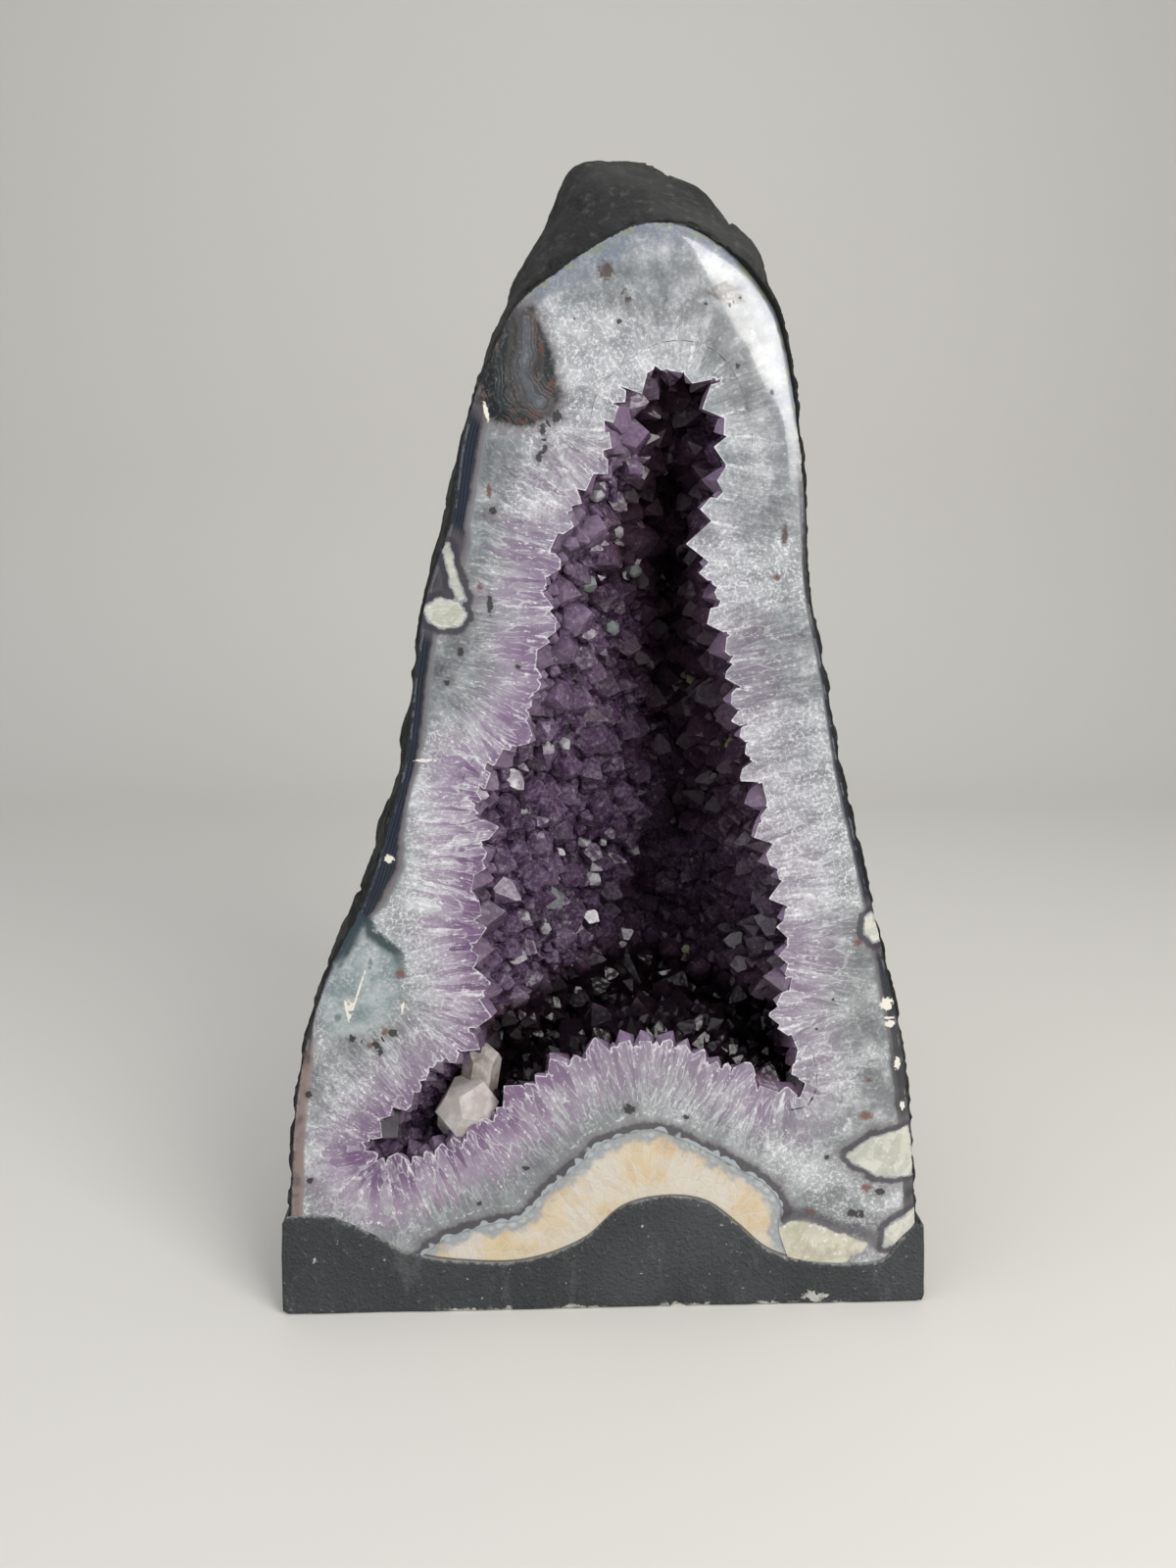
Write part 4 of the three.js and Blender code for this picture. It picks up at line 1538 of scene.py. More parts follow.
@dataclass(frozen=True)
class FaceMap:
    """Distances and marks on the sawn face, which the polished look is painted from."""

    form: RockForm
    hollow: Hollow
    rind_shown: float = 1.9
    side_middle: float = 12.0
    side_blend: float = 30.0
    pale_left: Pair = (468.0, 500.0)
    pale_right: Pair = (395.0, 450.0)
    gap_blur: float = 60.0
    spot_blur: float = 120.0
    mark_reach: float = 2.0
    band_left: Outline = (
        (20, 5.0), (60, 6.0), (130, 5.0), (150, 1.5), (190, 2.0), (205, 9.0), (225, 13.0), (240, 8.5),
        (255, 6.5), (270, 6.5), (300, 8.0), (330, 7.5), (345, 9.0), (372, 12.5), (390, 8.5), (410, 10.0),
        (440, 8.5), (470, 6.5), (500, 6.0), (530, 8.0),
    )
    band_right: Outline = (
        (20, 6.0), (60, 5.0), (120, 6.5), (160, 6.0), (190, 4.5), (230, 3.6), (300, 2.6),
        (380, 2.2), (420, 3.0), (470, 6.0), (500, 8.0), (530, 8.0),
    )
    violet_spots: Spots = (
        (-40, 300, 0.9), (-55, 230, 1.0), (-60, 170, 1.05), (-25, 350, 0.75), (-15, 400, 0.45),
        (0, 450, 0.12), (40, 470, 0.0), (60, 420, 0.02), (62, 370, 0.15), (70, 320, 0.35),
        (80, 270, 0.3), (90, 220, 0.4), (92, 160, 0.6), (95, 120, 0.4), (70, 115, 0.6),
        (20, 128, 0.55), (-20, 118, 0.8), (-60, 90, 1.0), (-110, 95, 0.9), (-113, 64, 1.5),
        (-130, 110, 0.4), (-100, 150, 0.5),
    )
    frost_spots: Spots = (
        (-85, 240, 0.3), (-100, 200, 0.3), (-62, 275, 0.15), (-55, 375, -0.12), (-75, 310, -0.15),
        (-50, 420, -0.1), (10, 495, 0.08), (-15, 465, 0.12), (88, 245, 0.22), (80, 285, 0.12),
        (78, 325, -0.15), (75, 362, 0.28), (78, 395, -0.1), (80, 430, -0.05), (105, 165, -0.08),
        (112, 95, -0.1), (100, 70, 0.15), (-135, 90, 0.12), (-60, 62, -0.15), (0, 100, -0.12),
        (50, 90, 0.0), (-110, 120, 0.0), (-60, 180, 0.05), (-30, 400, 0.1),
    )
    wedge: Outline = (
        (120, 77), (127, 82), (133, 86), (141, 88), (151, 92), (153, 80), (155, 67), (145, 66), (135, 68),
    )
    foot_pocket: Outline = (
        (141, 29), (141, 38), (147, 43), (156, 48), (157, 38), (148, 31),
    )
    rim_pocket: Outline = (
        (127, 199), (130, 201), (134, 196), (135, 188), (131, 187), (127, 192),
    )
    nodule: Outline = (
        (-85, 348), (-78, 353), (-69, 351), (-66, 345), (-69, 340), (-76, 339), (-83, 342),
    )
    vein: Outline = (
        (-75.5, 377), (-73.0, 378), (-71.0, 368), (-68.0, 359), (-66.0, 352), (-69.5, 352), (-72.5, 360),
    )
    teal_pocket: Outline = (
        (-124, 192), (-119, 203), (-113, 200), (-112, 194), (-101, 186), (-97, 174), (-100, 160),
        (-107, 148), (-118, 143), (-136, 142), (-139, 158), (-133, 176),
    )
    eye: Outline = (
        (-33, 484), (-28, 473), (-24, 459), (-21, 446), (-24, 436), (-32, 431), (-41, 430), (-52, 433),
        (-58, 441), (-57, 455), (-50, 470), (-42, 481),
    )
    eye_core: Outline = (
        (-36, 478), (-36, 466), (-37.5, 453), (-34, 445), (-30.5, 441),
    )
    dark_vein: Outline = (
        (90, 45), (95, 46.5), (101, 47.5), (108, 44), (114, 40.5), (120, 38.5), (126, 39),
        (132, 35.5), (138, 30),
    )
    foot_lobe: Outline = (
        (82, 33), (85.5, 39), (91, 42.6), (98, 43.5), (104.5, 42), (111, 39), (116.6, 37), (123.4, 34),
        (132, 30.5), (128, 26), (122, 22), (84, 20),
    )
    black_marks: tuple[Mark, ...] = (
        Mark(-22.4, 435.0, 2.6, 3.0), Mark(-28.8, 429.3, 1.5, 2.6), Mark(-27.9, 421.0, 1.3, 1.6),
        Mark(-30.7, 416.6, 1.5, 2.0), Mark(-52.2, 392.7, 1.8, 1.8), Mark(-54.1, 349.8, 1.5, 4.5),
        Mark(-68.2, 328.1, 1.6, 2.0), Mark(-41.1, 321.1, 1.2, 1.2), Mark(-74.8, 313.5, 1.4, 1.4),
        Mark(-124.0, 141.4, 1.8, 1.8), Mark(-112.7, 138.3, 2.0, 1.6),
        Mark(-110.4, 134.3, 1.5, 1.5), Mark(-104.0, 144.0, 2.4, 2.0), Mark(-145.8, 113.5, 1.8, 1.8),
        Mark(-146.7, 69.3, 1.6, 1.6), Mark(-39.7, 73.9, 2.0, 1.4), Mark(-63.3, 56.0, 1.3, 1.3),
        Mark(11.4, 103.5, 3.4, 2.4), Mark(39.7, 98.9, 1.6, 1.2), Mark(6.4, 477.0, 1.1, 1.1),
        Mark(61.0, 457.9, 1.1, 1.4), Mark(110.7, 76.8, 1.4, 1.2), Mark(138.0, 58.3, 2.6, 1.8),
        Mark(123.8, 47.2, 2.2, 2.2), Mark(128.8, 46.6, 1.4, 2.4), Mark(77.0, 446.0, 1.0, 1.2),
        Mark(104.0, 143.0, 0.8, 0.8), Mark(112.0, 158.0, 0.8, 0.8), Mark(84.0, 479.0, 2.4, 3.0),
        Mark(62.0, 488.0, 0.8, 0.7), Mark(46.0, 485.0, 0.9, 0.6), Mark(57.0, 484.5, 0.7, 0.9),
    )
    rust_marks: tuple[Mark, ...] = (
        Mark(-28.9, 465.2, 0.9, 2.6), Mark(-24.6, 450.2, 1.0, 1.6), Mark(-42.6, 437.5, 1.4, 1.0),
        Mark(-33.7, 435.4, 1.1, 1.0), Mark(-38.2, 432.3, 1.5, 0.9), Mark(-53.9, 401.6, 1.2, 3.4),
        Mark(-58.6, 357.9, 1.6, 2.0), Mark(-107.8, 144.6, 2.2, 1.8), Mark(-115.6, 137.8, 1.8, 1.6),
        Mark(130.9, 116.6, 1.4, 1.4), Mark(130.0, 98.0, 4.0, 2.4), Mark(131.0, 60.5, 3.0, 2.4),
        Mark(103.4, 48.1, 2.0, 1.6), Mark(-99.7, 173.6, 2.6, 2.6), Mark(80.8, 362.2, 1.8, 1.6),
        Mark(123.3, 186.3, 2.4, 2.0), Mark(-14.0, 478.0, 0.8, 0.8),
    )
    brown_marks: tuple[Mark, ...] = (
        Mark(0.6, 499.1, 4.2, 4.0), Mark(52.0, 488.0, 5.5, 1.3, -30.0),
        Mark(58.0, 491.5, 5.0, 1.0, 12.0), Mark(61.0, 487.5, 3.4, 1.1, -24.0),
        Mark(48.5, 491.0, 2.2, 0.9, 40.0), Mark(10.5, 486.8, 1.8, 1.6),
        Mark(54.0, 494.0, 2.4, 0.8, 20.0), Mark(-148.5, 133.0, 3.0, 1.6), Mark(84.0, 382.0, 1.8, 5.0),
    )
    white_marks: tuple[Mark, ...] = (
        Mark(138.7, 155.1, 3.0, 3.4), Mark(140.4, 145.1, 2.6, 1.8), Mark(144.9, 125.0, 1.8, 3.0),
        Mark(-54.8, 437.0, 1.0, 5.0, 12.0), Mark(-103.9, 229.7, 2.4, 1.8), Mark(-86.0, 277.0, 5.0, 0.8),
        Mark(-120.7, 163.6, 0.6, 13.8, -18.7), Mark(-126.1, 156.1, 0.9, 5.6, 10.3),
        Mark(-99.1, 156.4, 0.9, 3.0, -8.0), Mark(148.0, 103.0, 1.2, 2.4),
    )
    front_gaps: Spots = (
        (27, 462, 12.0), (56, 396, 15.0), (68, 300, 16.0), (93, 185, 20.0), (96, 112, 15.0),
        (60, 120, 9.5), (22, 134, 8.5), (-30, 118, 9.0), (-70, 87, 8.0), (-118, 74, 9.0),
        (-100, 116, 11.0), (-68, 170, 16.0), (-63, 250, 15.0), (-34, 340, 14.0), (-8, 412, 11.0),
    )
    gap_shares: tuple[float, ...] = (0.5, 0.62, 0.75, 0.85, 0.95, 1.05, 1.15, 1.3)

    def __post_init__(self) -> None:
        """Places the front crystals round the hollow's edge once."""
        line = self.hollow.edge_line
        rng = np.random.default_rng(5)
        spots = np.array(self.front_gaps)
        travelled, places = 0.0, []
        while travelled < line.length:
            here = line.at(np.array([travelled / line.length]))[0]
            away = np.sum((spots[:, :2] - here) ** 2, axis=1)
            weight = 1.0 / (away + self.gap_blur) ** 1.5
            gap = float(np.sum(weight * spots[:, 2]) / np.sum(weight)) * rng.choice(self.gap_shares)
            places.append((travelled + gap / 2.0, gap))
            travelled += gap
        object.__setattr__(self, "front_places", np.array(places))
        object.__setattr__(self, "front_tints", rng.random(len(places)))

    def blend_spots(self, flat: Array, spots: Sequence[Sequence[float]]) -> Array:
        """Values that pass smoothly between those given at some places.

        Args:
            flat: The x and z of the places.
            spots: The x, the z and the value of each given place.

        Returns:
            One value for each place.
        """
        given = np.array(spots, float)
        away = np.sum((flat[:, None, :] - given[None, :, :2]) ** 2, axis=2) + self.spot_blur
        weight = away**-2.0
        return (weight * given[:, 2]).sum(axis=1) / weight.sum(axis=1)

    def to_marks(self, flat: Array, marks: Sequence[Mark]) -> Array:
        """Steps from each place to its nearest mark, in the mark's own half sizes.

        Args:
            flat: The x and z of the places.
            marks: The marks.

        Returns:
            The steps across and up, and how far out of reach the mark is.
        """
        best = np.full(len(flat), np.inf)
        result = np.zeros((len(flat), 3))
        for mark in marks:
            turn = math.radians(mark.turn)
            away = flat - (mark.x, mark.z)
            across = away[:, 0] * math.cos(turn) + away[:, 1] * math.sin(turn)
            upward = away[:, 1] * math.cos(turn) - away[:, 0] * math.sin(turn)
            step = np.stack([across / mark.wide, upward / mark.tall], axis=1)
            size = np.linalg.norm(step, axis=1)
            closer = size < best
            best = np.where(closer, size, best)
            result[closer, :2] = step[closer]
        result[:, 2] = np.maximum(0.0, best - self.mark_reach)
        return result

    def nearest_crystal(self, along: Array) -> tuple[Array, Array]:
        """Finds the front crystal that each place belongs to.

        Args:
            along: How far round the hollow's edge each place lies.

        Returns:
            The crystals' numbers, and how far from each one's middle (0) to its side (1) it is.
        """
        places, gaps = self.front_places.T
        step = np.abs(along[:, None] - places[None, :])
        step = np.minimum(step, self.hollow.edge_line.length - step) / (gaps[None, :] / 2.0)
        return np.argmin(step, axis=1), np.min(step, axis=1)

    def describe(self, piece: Piece, flat: Array) -> None:
        """Stores what the polished look reads, for each corner of a piece.

        Args:
            piece: The piece.
            flat: The x and z of its corners.
        """
        line = self.hollow.edge_line
        away, along = nearest_on(line.points, flat)
        nearest, across = self.nearest_crystal(along)
        turn = along / line.length * 2.0 * math.pi
        ring = np.stack([np.cos(turn), np.sin(turn), 0.0 * turn], axis=1)
        rim = -beyond(self.form.face_arch.points, flat, closed=False) - self.rind_shown
        left, right = (np.array(band).T for band in (self.band_left, self.band_right))
        z = flat[:, 1]
        middle = self.side_middle + self.form.axis_slope * z
        side = smoothstep(flat[:, 0], middle - self.side_blend, middle + self.side_blend)
        pockets = (self.wedge, self.foot_pocket, self.rim_pocket, self.nodule, self.vein)
        stored = {
            "eye": beyond(self.eye, flat),
            "core": nearest_on(np.array(self.eye_core), flat)[0],
            "vein": nearest_on(np.array(self.dark_vein), flat)[0],
            "lobe": beyond(self.foot_lobe, flat),
            "teal": beyond(self.teal_pocket, flat),
            "edge": np.where(inside(line.points, flat), -away, away),
            "fibre": ring * (line.length / (2.0 * math.pi)),
            "rim": rim,
            "band": rim / lerp(np.interp(z, *left), np.interp(z, *right), side),
            "pale": lerp(smoothstep(z, *self.pale_left), smoothstep(z, *self.pale_right), side),
            "side": np.minimum(1.0, across),
            "tint": self.front_tints[nearest],
            "violet": self.blend_spots(flat, self.violet_spots),
            "frost": self.blend_spots(flat, self.frost_spots),
            "arch": nearest_on(self.form.seam_line.points, flat)[0],
            "pocket": np.min([beyond(outline, flat) for outline in pockets], axis=0),
            "to_black": self.to_marks(flat, self.black_marks),
            "to_rust": self.to_marks(flat, self.rust_marks),
            "to_brown": self.to_marks(flat, self.brown_marks),
            "to_white": self.to_marks(flat, self.white_marks),
        }
        for name, values in stored.items():
            set_values(piece, name, values)


# The pieces


@dataclass
class Rind:
    """The basalt skin that the geode grew in."""

    form: RockForm
    finish: BasaltFinish = field(default_factory=BasaltFinish)
    columns: int = 620
    rows: int = 76
    cap_rows: int = 24
    jag: float = 1.1
    jag_rows: int = 5
    row_spread: float = 1.15
    least_sunk: float = 0.25
    foot_z: float = 3.0
    lip_profile: Outline = (
        (0.2, 2.2), (0.6, 1.6), (1.1, 1.3), (1.6, 1.3), (2.1, 1.7), (2.7, 2.7), (3.4, 4.4), (4.4, 9.0),
    )

    def relief(self, points: Array) -> Array:
        """How far the skin is sunk at each place: split facets, lumps and grain.

        Args:
            points: The places on the skin.

        Returns:
            One depth for each place.
        """
        facets = chipped(points + 4.0 * soft_noise(points, 30.0, 8)[:, None], 38.0, 21)
        small = chipped(points, 12.0, 47)
        lumps = soft_noise(points, 26.0, 3, 3)
        grain = soft_noise(points, 3.4, 31, 2)
        return 1.7 + 2.0 * facets + 0.6 * small + 0.8 * lumps + 0.2 * grain

    def outside(self) -> Array:
        """The skin's outer surface as a grid of points, with the face's edge as its first row.

        Returns:
            The grid, shape (rows, columns, 3).
        """
        shares = np.linspace(0.0, 1.0, self.columns)
        depths = np.linspace(0.0, 1.0, self.rows) ** self.row_spread
        rows = [self.form.ring(float(t), 0.0, shares) for t in depths]
        last = rows[-1]
        foot = np.array([0.0, self.form.back_y, 0.0])
        for share in np.linspace(1.0, 0.0, self.cap_rows + 1)[1:-1]:
            rows.append(foot + (last - foot) * share)
        grid = np.stack(rows)
        depth = np.maximum(0.0, self.relief(grid.reshape(-1, 3))) + self.least_sunk
        return grid - grid_normals(grid) * depth.reshape(grid.shape[:2])[:, :, None]

    def build(self) -> Piece:
        """Builds the skin.

        Returns:
            The piece.
        """
        outer = self.outside()
        shares = np.linspace(0.0, 1.0, self.columns)
        arch, inward = self.form.face_arch.at(shares), self.form.face_arch.inward(shares)
        jag = soft_noise(self.form.on_face(arch), 6.0, 61, 3)
        jag = self.jag * np.clip(0.6 + 1.3 * jag, 0.0, 2.4)
        step = np.column_stack([inward[:, 0], 0.0 * jag, inward[:, 1]])
        for row in range(1, self.jag_rows):
            outer[row] += step * (jag * (1.0 - row / self.jag_rows))[:, None]
        lip = []
        for inset, behind in self.lip_profile:
            flat = arch + inward * (inset + jag * max(0.0, 1.0 - inset / 3.0))[:, None]
            points = self.form.on_face(flat, behind)
            rough = soft_noise(points, 2.6, 77, 2) * 0.8 + soft_noise(points, 8.0, 78) * 0.5
            lip.append(points + np.array([0.0, 1.0, 0.0]) * np.maximum(-behind + 0.2, rough)[:, None])
        grid = np.concatenate([np.stack(lip[::-1]), outer[1:]])
        grid[:, :, 2] = np.maximum(grid[:, :, 2], self.foot_z)
        rows, columns = grid.shape[:2]
        piece = new_object("basalt_rind_skin", grid.reshape(-1, 3), grid_faces(rows, columns))
        front = np.zeros((rows, columns))
        front[: len(lip)] = 1.0
        front[len(lip) : len(lip) + 2] = 0.5
        set_values(piece, "front", front.ravel())
        piece.data.materials.append(self.finish.material())
        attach(piece, "root")
        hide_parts("basalt_rind")
        return piece


@dataclass
class QuartzWall:
    """The polished quartz and agate between the rind and the hollow."""

    form: RockForm
    hollow: Hollow
    face_map: FaceMap
    finish: QuartzFinish = field(default_factory=QuartzFinish)
    spacing: float = 2.2
    foot_z: float = 14.0
    edge_round: float = 7.0
    edge_drop: float = 1.1
    shoulder_at: Pair = (57.0, 470.0)
    shoulder_turn: float = 0.6
    shoulder_slope: float = 0.16
    shoulder_blend: float = 14.0
    edge_count: int = 420
    arch_count: int = 620
    lining_rows: int = 50
    calm_band: Pair = (4.0, 16.0)
    ripple: float = 0.1
    wave: float = 0.22
    wave_band: Pair = (-25.0, 10.0)

    def lining_ring(self, s: float) -> Array:
        """One ring of the hollow's lining behind the crust."""
        share = np.arange(self.edge_count) / self.edge_count
        return self.hollow.behind(share, np.full(self.edge_count, s))

    def hole(self) -> Array:
        """The edge of the hole in the face, where the crust begins."""
        ring = self.lining_ring(0.0)
        return np.stack([ring[:, 0], ring[:, 2]], axis=1)

    def outline(self) -> Array:
        """The face's own outline: up the left side, down the right and over the calcite seam.

        Returns:
            The x and z of its points.
        """
        shares = np.linspace(0.0, 1.0, self.arch_count)
        arch = self.form.face_arch.at(shares)
        arch = arch + self.form.face_arch.inward(shares) * self.face_map.rind_shown
        arch = arch[arch[:, 1] > self.foot_z]
        seam = self.form.seam_line.points[::-1]
        seam = seam[seam[:, 1] > self.foot_z]
        right = np.array([[arch[-1, 0], self.foot_z], [seam[0, 0], self.foot_z]])
        left = np.array([[seam[-1, 0], self.foot_z], [arch[0, 0], self.foot_z]])
        return np.vstack([arch, right, seam, left])

    def drop(self, flat: Array) -> Array:
        """How far the polished face falls back from its plane, mostly along the rock's outline.

        Args:
            flat: The x and z of the places.

        Returns:
            One depth for each place.
        """
        rim, _ = nearest_on(self.form.face_arch.points, flat)
        rim = np.maximum(0.0, rim - self.face_map.rind_shown)
        edge, _ = nearest_on(self.hollow.edge_line.points, flat)
        sides = self.edge_drop * np.clip(1.0 - rim / self.edge_round, 0.0, 1.0) ** 2
        x, z = self.shoulder_at
        past = flat[:, 0] - x + self.shoulder_turn * (flat[:, 1] - z)
        across = np.maximum(0.0, past)
        start = self.shoulder_blend
        slide = np.where(across < start, across**2 / (2.0 * start), across - start / 2.0)
        place = self.form.on_face(flat)
        ripples = self.ripple * (1.0 + soft_noise(place, 44.0, 91))
        waves = self.wave * (1.0 + soft_noise(place, 14.0, 17)) * smoothstep(past, *self.wave_band)
        calm = smoothstep(edge, *self.calm_band)
        return sides + (self.shoulder_slope * slide + ripples + waves) * calm

    def build(self) -> Piece:
        """Builds the wall: the polished face and the lining of the hollow.

        Returns:
            The piece.
        """
        hole = self.hole()
        corners, triangles = fill_flat([self.outline(), hole], self.spacing, self.spacing * 0.45)
        face = self.form.on_face(corners, self.drop(corners))
        rings = [self.lining_ring(float(s)) for s in np.linspace(0.0, 1.0, self.lining_rows)]
        rings[0] = self.form.on_face(hole, self.drop(hole))
        rings[-1][:, 1] += self.hollow.crust_thickness
        lining = np.concatenate(rings)
        first = len(face)
        faces = [(c, b, a) for a, b, c in triangles]
        faces += [f[::-1] for f in grid_faces(self.lining_rows, self.edge_count, True, first)]
        last = first + (self.lining_rows - 1) * self.edge_count
        faces += rung_faces(range(last, last + self.edge_count))
        points = np.vstack([face, lining])
        piece = new_object("quartz_wall_polished", points, faces)
        flat = points[:, [0, 2]].copy()
        flat[first:] = np.tile(hole, (self.lining_rows, 1))
        self.face_map.describe(piece, flat)
        set_values(piece, "lining", (np.arange(len(points)) >= first + self.edge_count).astype(float))
        piece.data.materials.append(self.finish.material())
        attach(piece, "root")
        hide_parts("quartz_wall")
        return piece


@dataclass(frozen=True)
class CrystalSeed:
    """One crystal of the crust: its root on the wall, its direction and its size."""

    root: Array
    axis: Array
    radius: float
    height: float
    buried: float
    tint: float


class CrystalTint(Enum):
    """Tints of the crystals that stand out. The others are between 0 and 1."""

    MILKY = 2.0
    # Straw crystals carry a painted reflection of a yellowish light, and bright ones a painted white
    # glint
    STRAW_REFLECTION = 3.0
    PAINTED_GLINT = 4.0
    DUSK = 5.0


@dataclass(frozen=True)
class MarkedCrystal:
    """A crystal that stands out by its tint: where its shoulders are, and its size."""

    at: Triple
    radius: float
    height: float
    tint: CrystalTint


class CrystalCutter:
    """Cuts crystals from flat planes: six sides, three large and three small tip faces, a root."""

    tip_slope = math.radians(51.8)
    merge = 0.02
    plane_count = 13

    def __init__(self) -> None:
        """Prepares the triples of planes that may meet in a corner."""
        self.triples = np.array(list(itertools.combinations(range(self.plane_count), 3)))

    def planes(self, seed: CrystalSeed, rng: np.random.Generator) -> tuple[Array, Array]:
        """The planes of one crystal, in its own frame with its axis along z.

        Args:
            seed: The crystal.
            rng: Source of the small differences between crystals.

        Returns:
            The planes' outward directions, shape (13, 3), and their distances.
        """
        angles = np.arange(6) * math.pi / 3.0
        across = np.stack([np.cos(angles), np.sin(angles), np.zeros(6)], axis=1)
        sides = seed.radius * 0.9 * (1.0 + rng.uniform(-0.14, 0.14, 6))
        tips = across * math.sin(self.tip_slope) + np.array([0.0, 0.0, math.cos(self.tip_slope)])
        reach = seed.height * math.cos(self.tip_slope)
        small = rng.uniform(0.05, 0.5) * seed.radius
        large_face = np.arange(6) % 2 == 0
        offsets = np.where(large_face, rng.uniform(-0.12, 0.16, 6) * seed.radius, small)
        offsets = np.where(large_face, offsets, small * rng.uniform(0.5, 1.4, 6))
        normals = np.vstack([across, tips, [[0.0, 0.0, -1.0]]])
        return normals, np.concatenate([sides, reach + offsets * 0.6, [seed.buried]])

    def corners(self, seed: CrystalSeed, rng: np.random.Generator) -> Array:
        """Finds the corners of one crystal, where three of its planes meet.

        Args:
            seed: The crystal.
            rng: Source of the small differences between crystals.

        Returns:
            Its corners in place, shape (n, 3).
        """
        normals, distances = self.planes(seed, rng)
        sets, rights = normals[self.triples], distances[self.triples]
        good = np.abs(np.linalg.det(sets)) > 1e-3
        found = np.linalg.solve(sets[good], rights[good][:, :, None])[:, :, 0]
        kept = found[(found @ normals.T <= distances + 1e-6).all(axis=1)]
        gaps = np.linalg.norm(kept[:, None, :] - kept[None, :, :], axis=2)
        kept = kept[~np.tril(gaps < self.merge, -1).any(axis=1)]
        spin = Matrix.Rotation(rng.uniform(0.0, math.pi / 3.0), 3, "Z")
        turn = Vector(seed.axis).to_track_quat("Z", "Y").to_matrix() @ spin
        return kept @ np.array(turn).T + seed.root


def join_solids(base: Piece, parts: Sequence[Piece]) -> None:
    """Joins closed parts to a closed base, one after another, and removes them.

    Args:
        base: The piece that grows.
        parts: The parts that are joined to it.
    """
    for part in parts:
        modifier = base.modifiers.new("join", "BOOLEAN")
        modifier.operation, modifier.solver, modifier.object = "UNION", "MANIFOLD", part
        apply_modifiers(base)
        bpy.data.objects.remove(part)


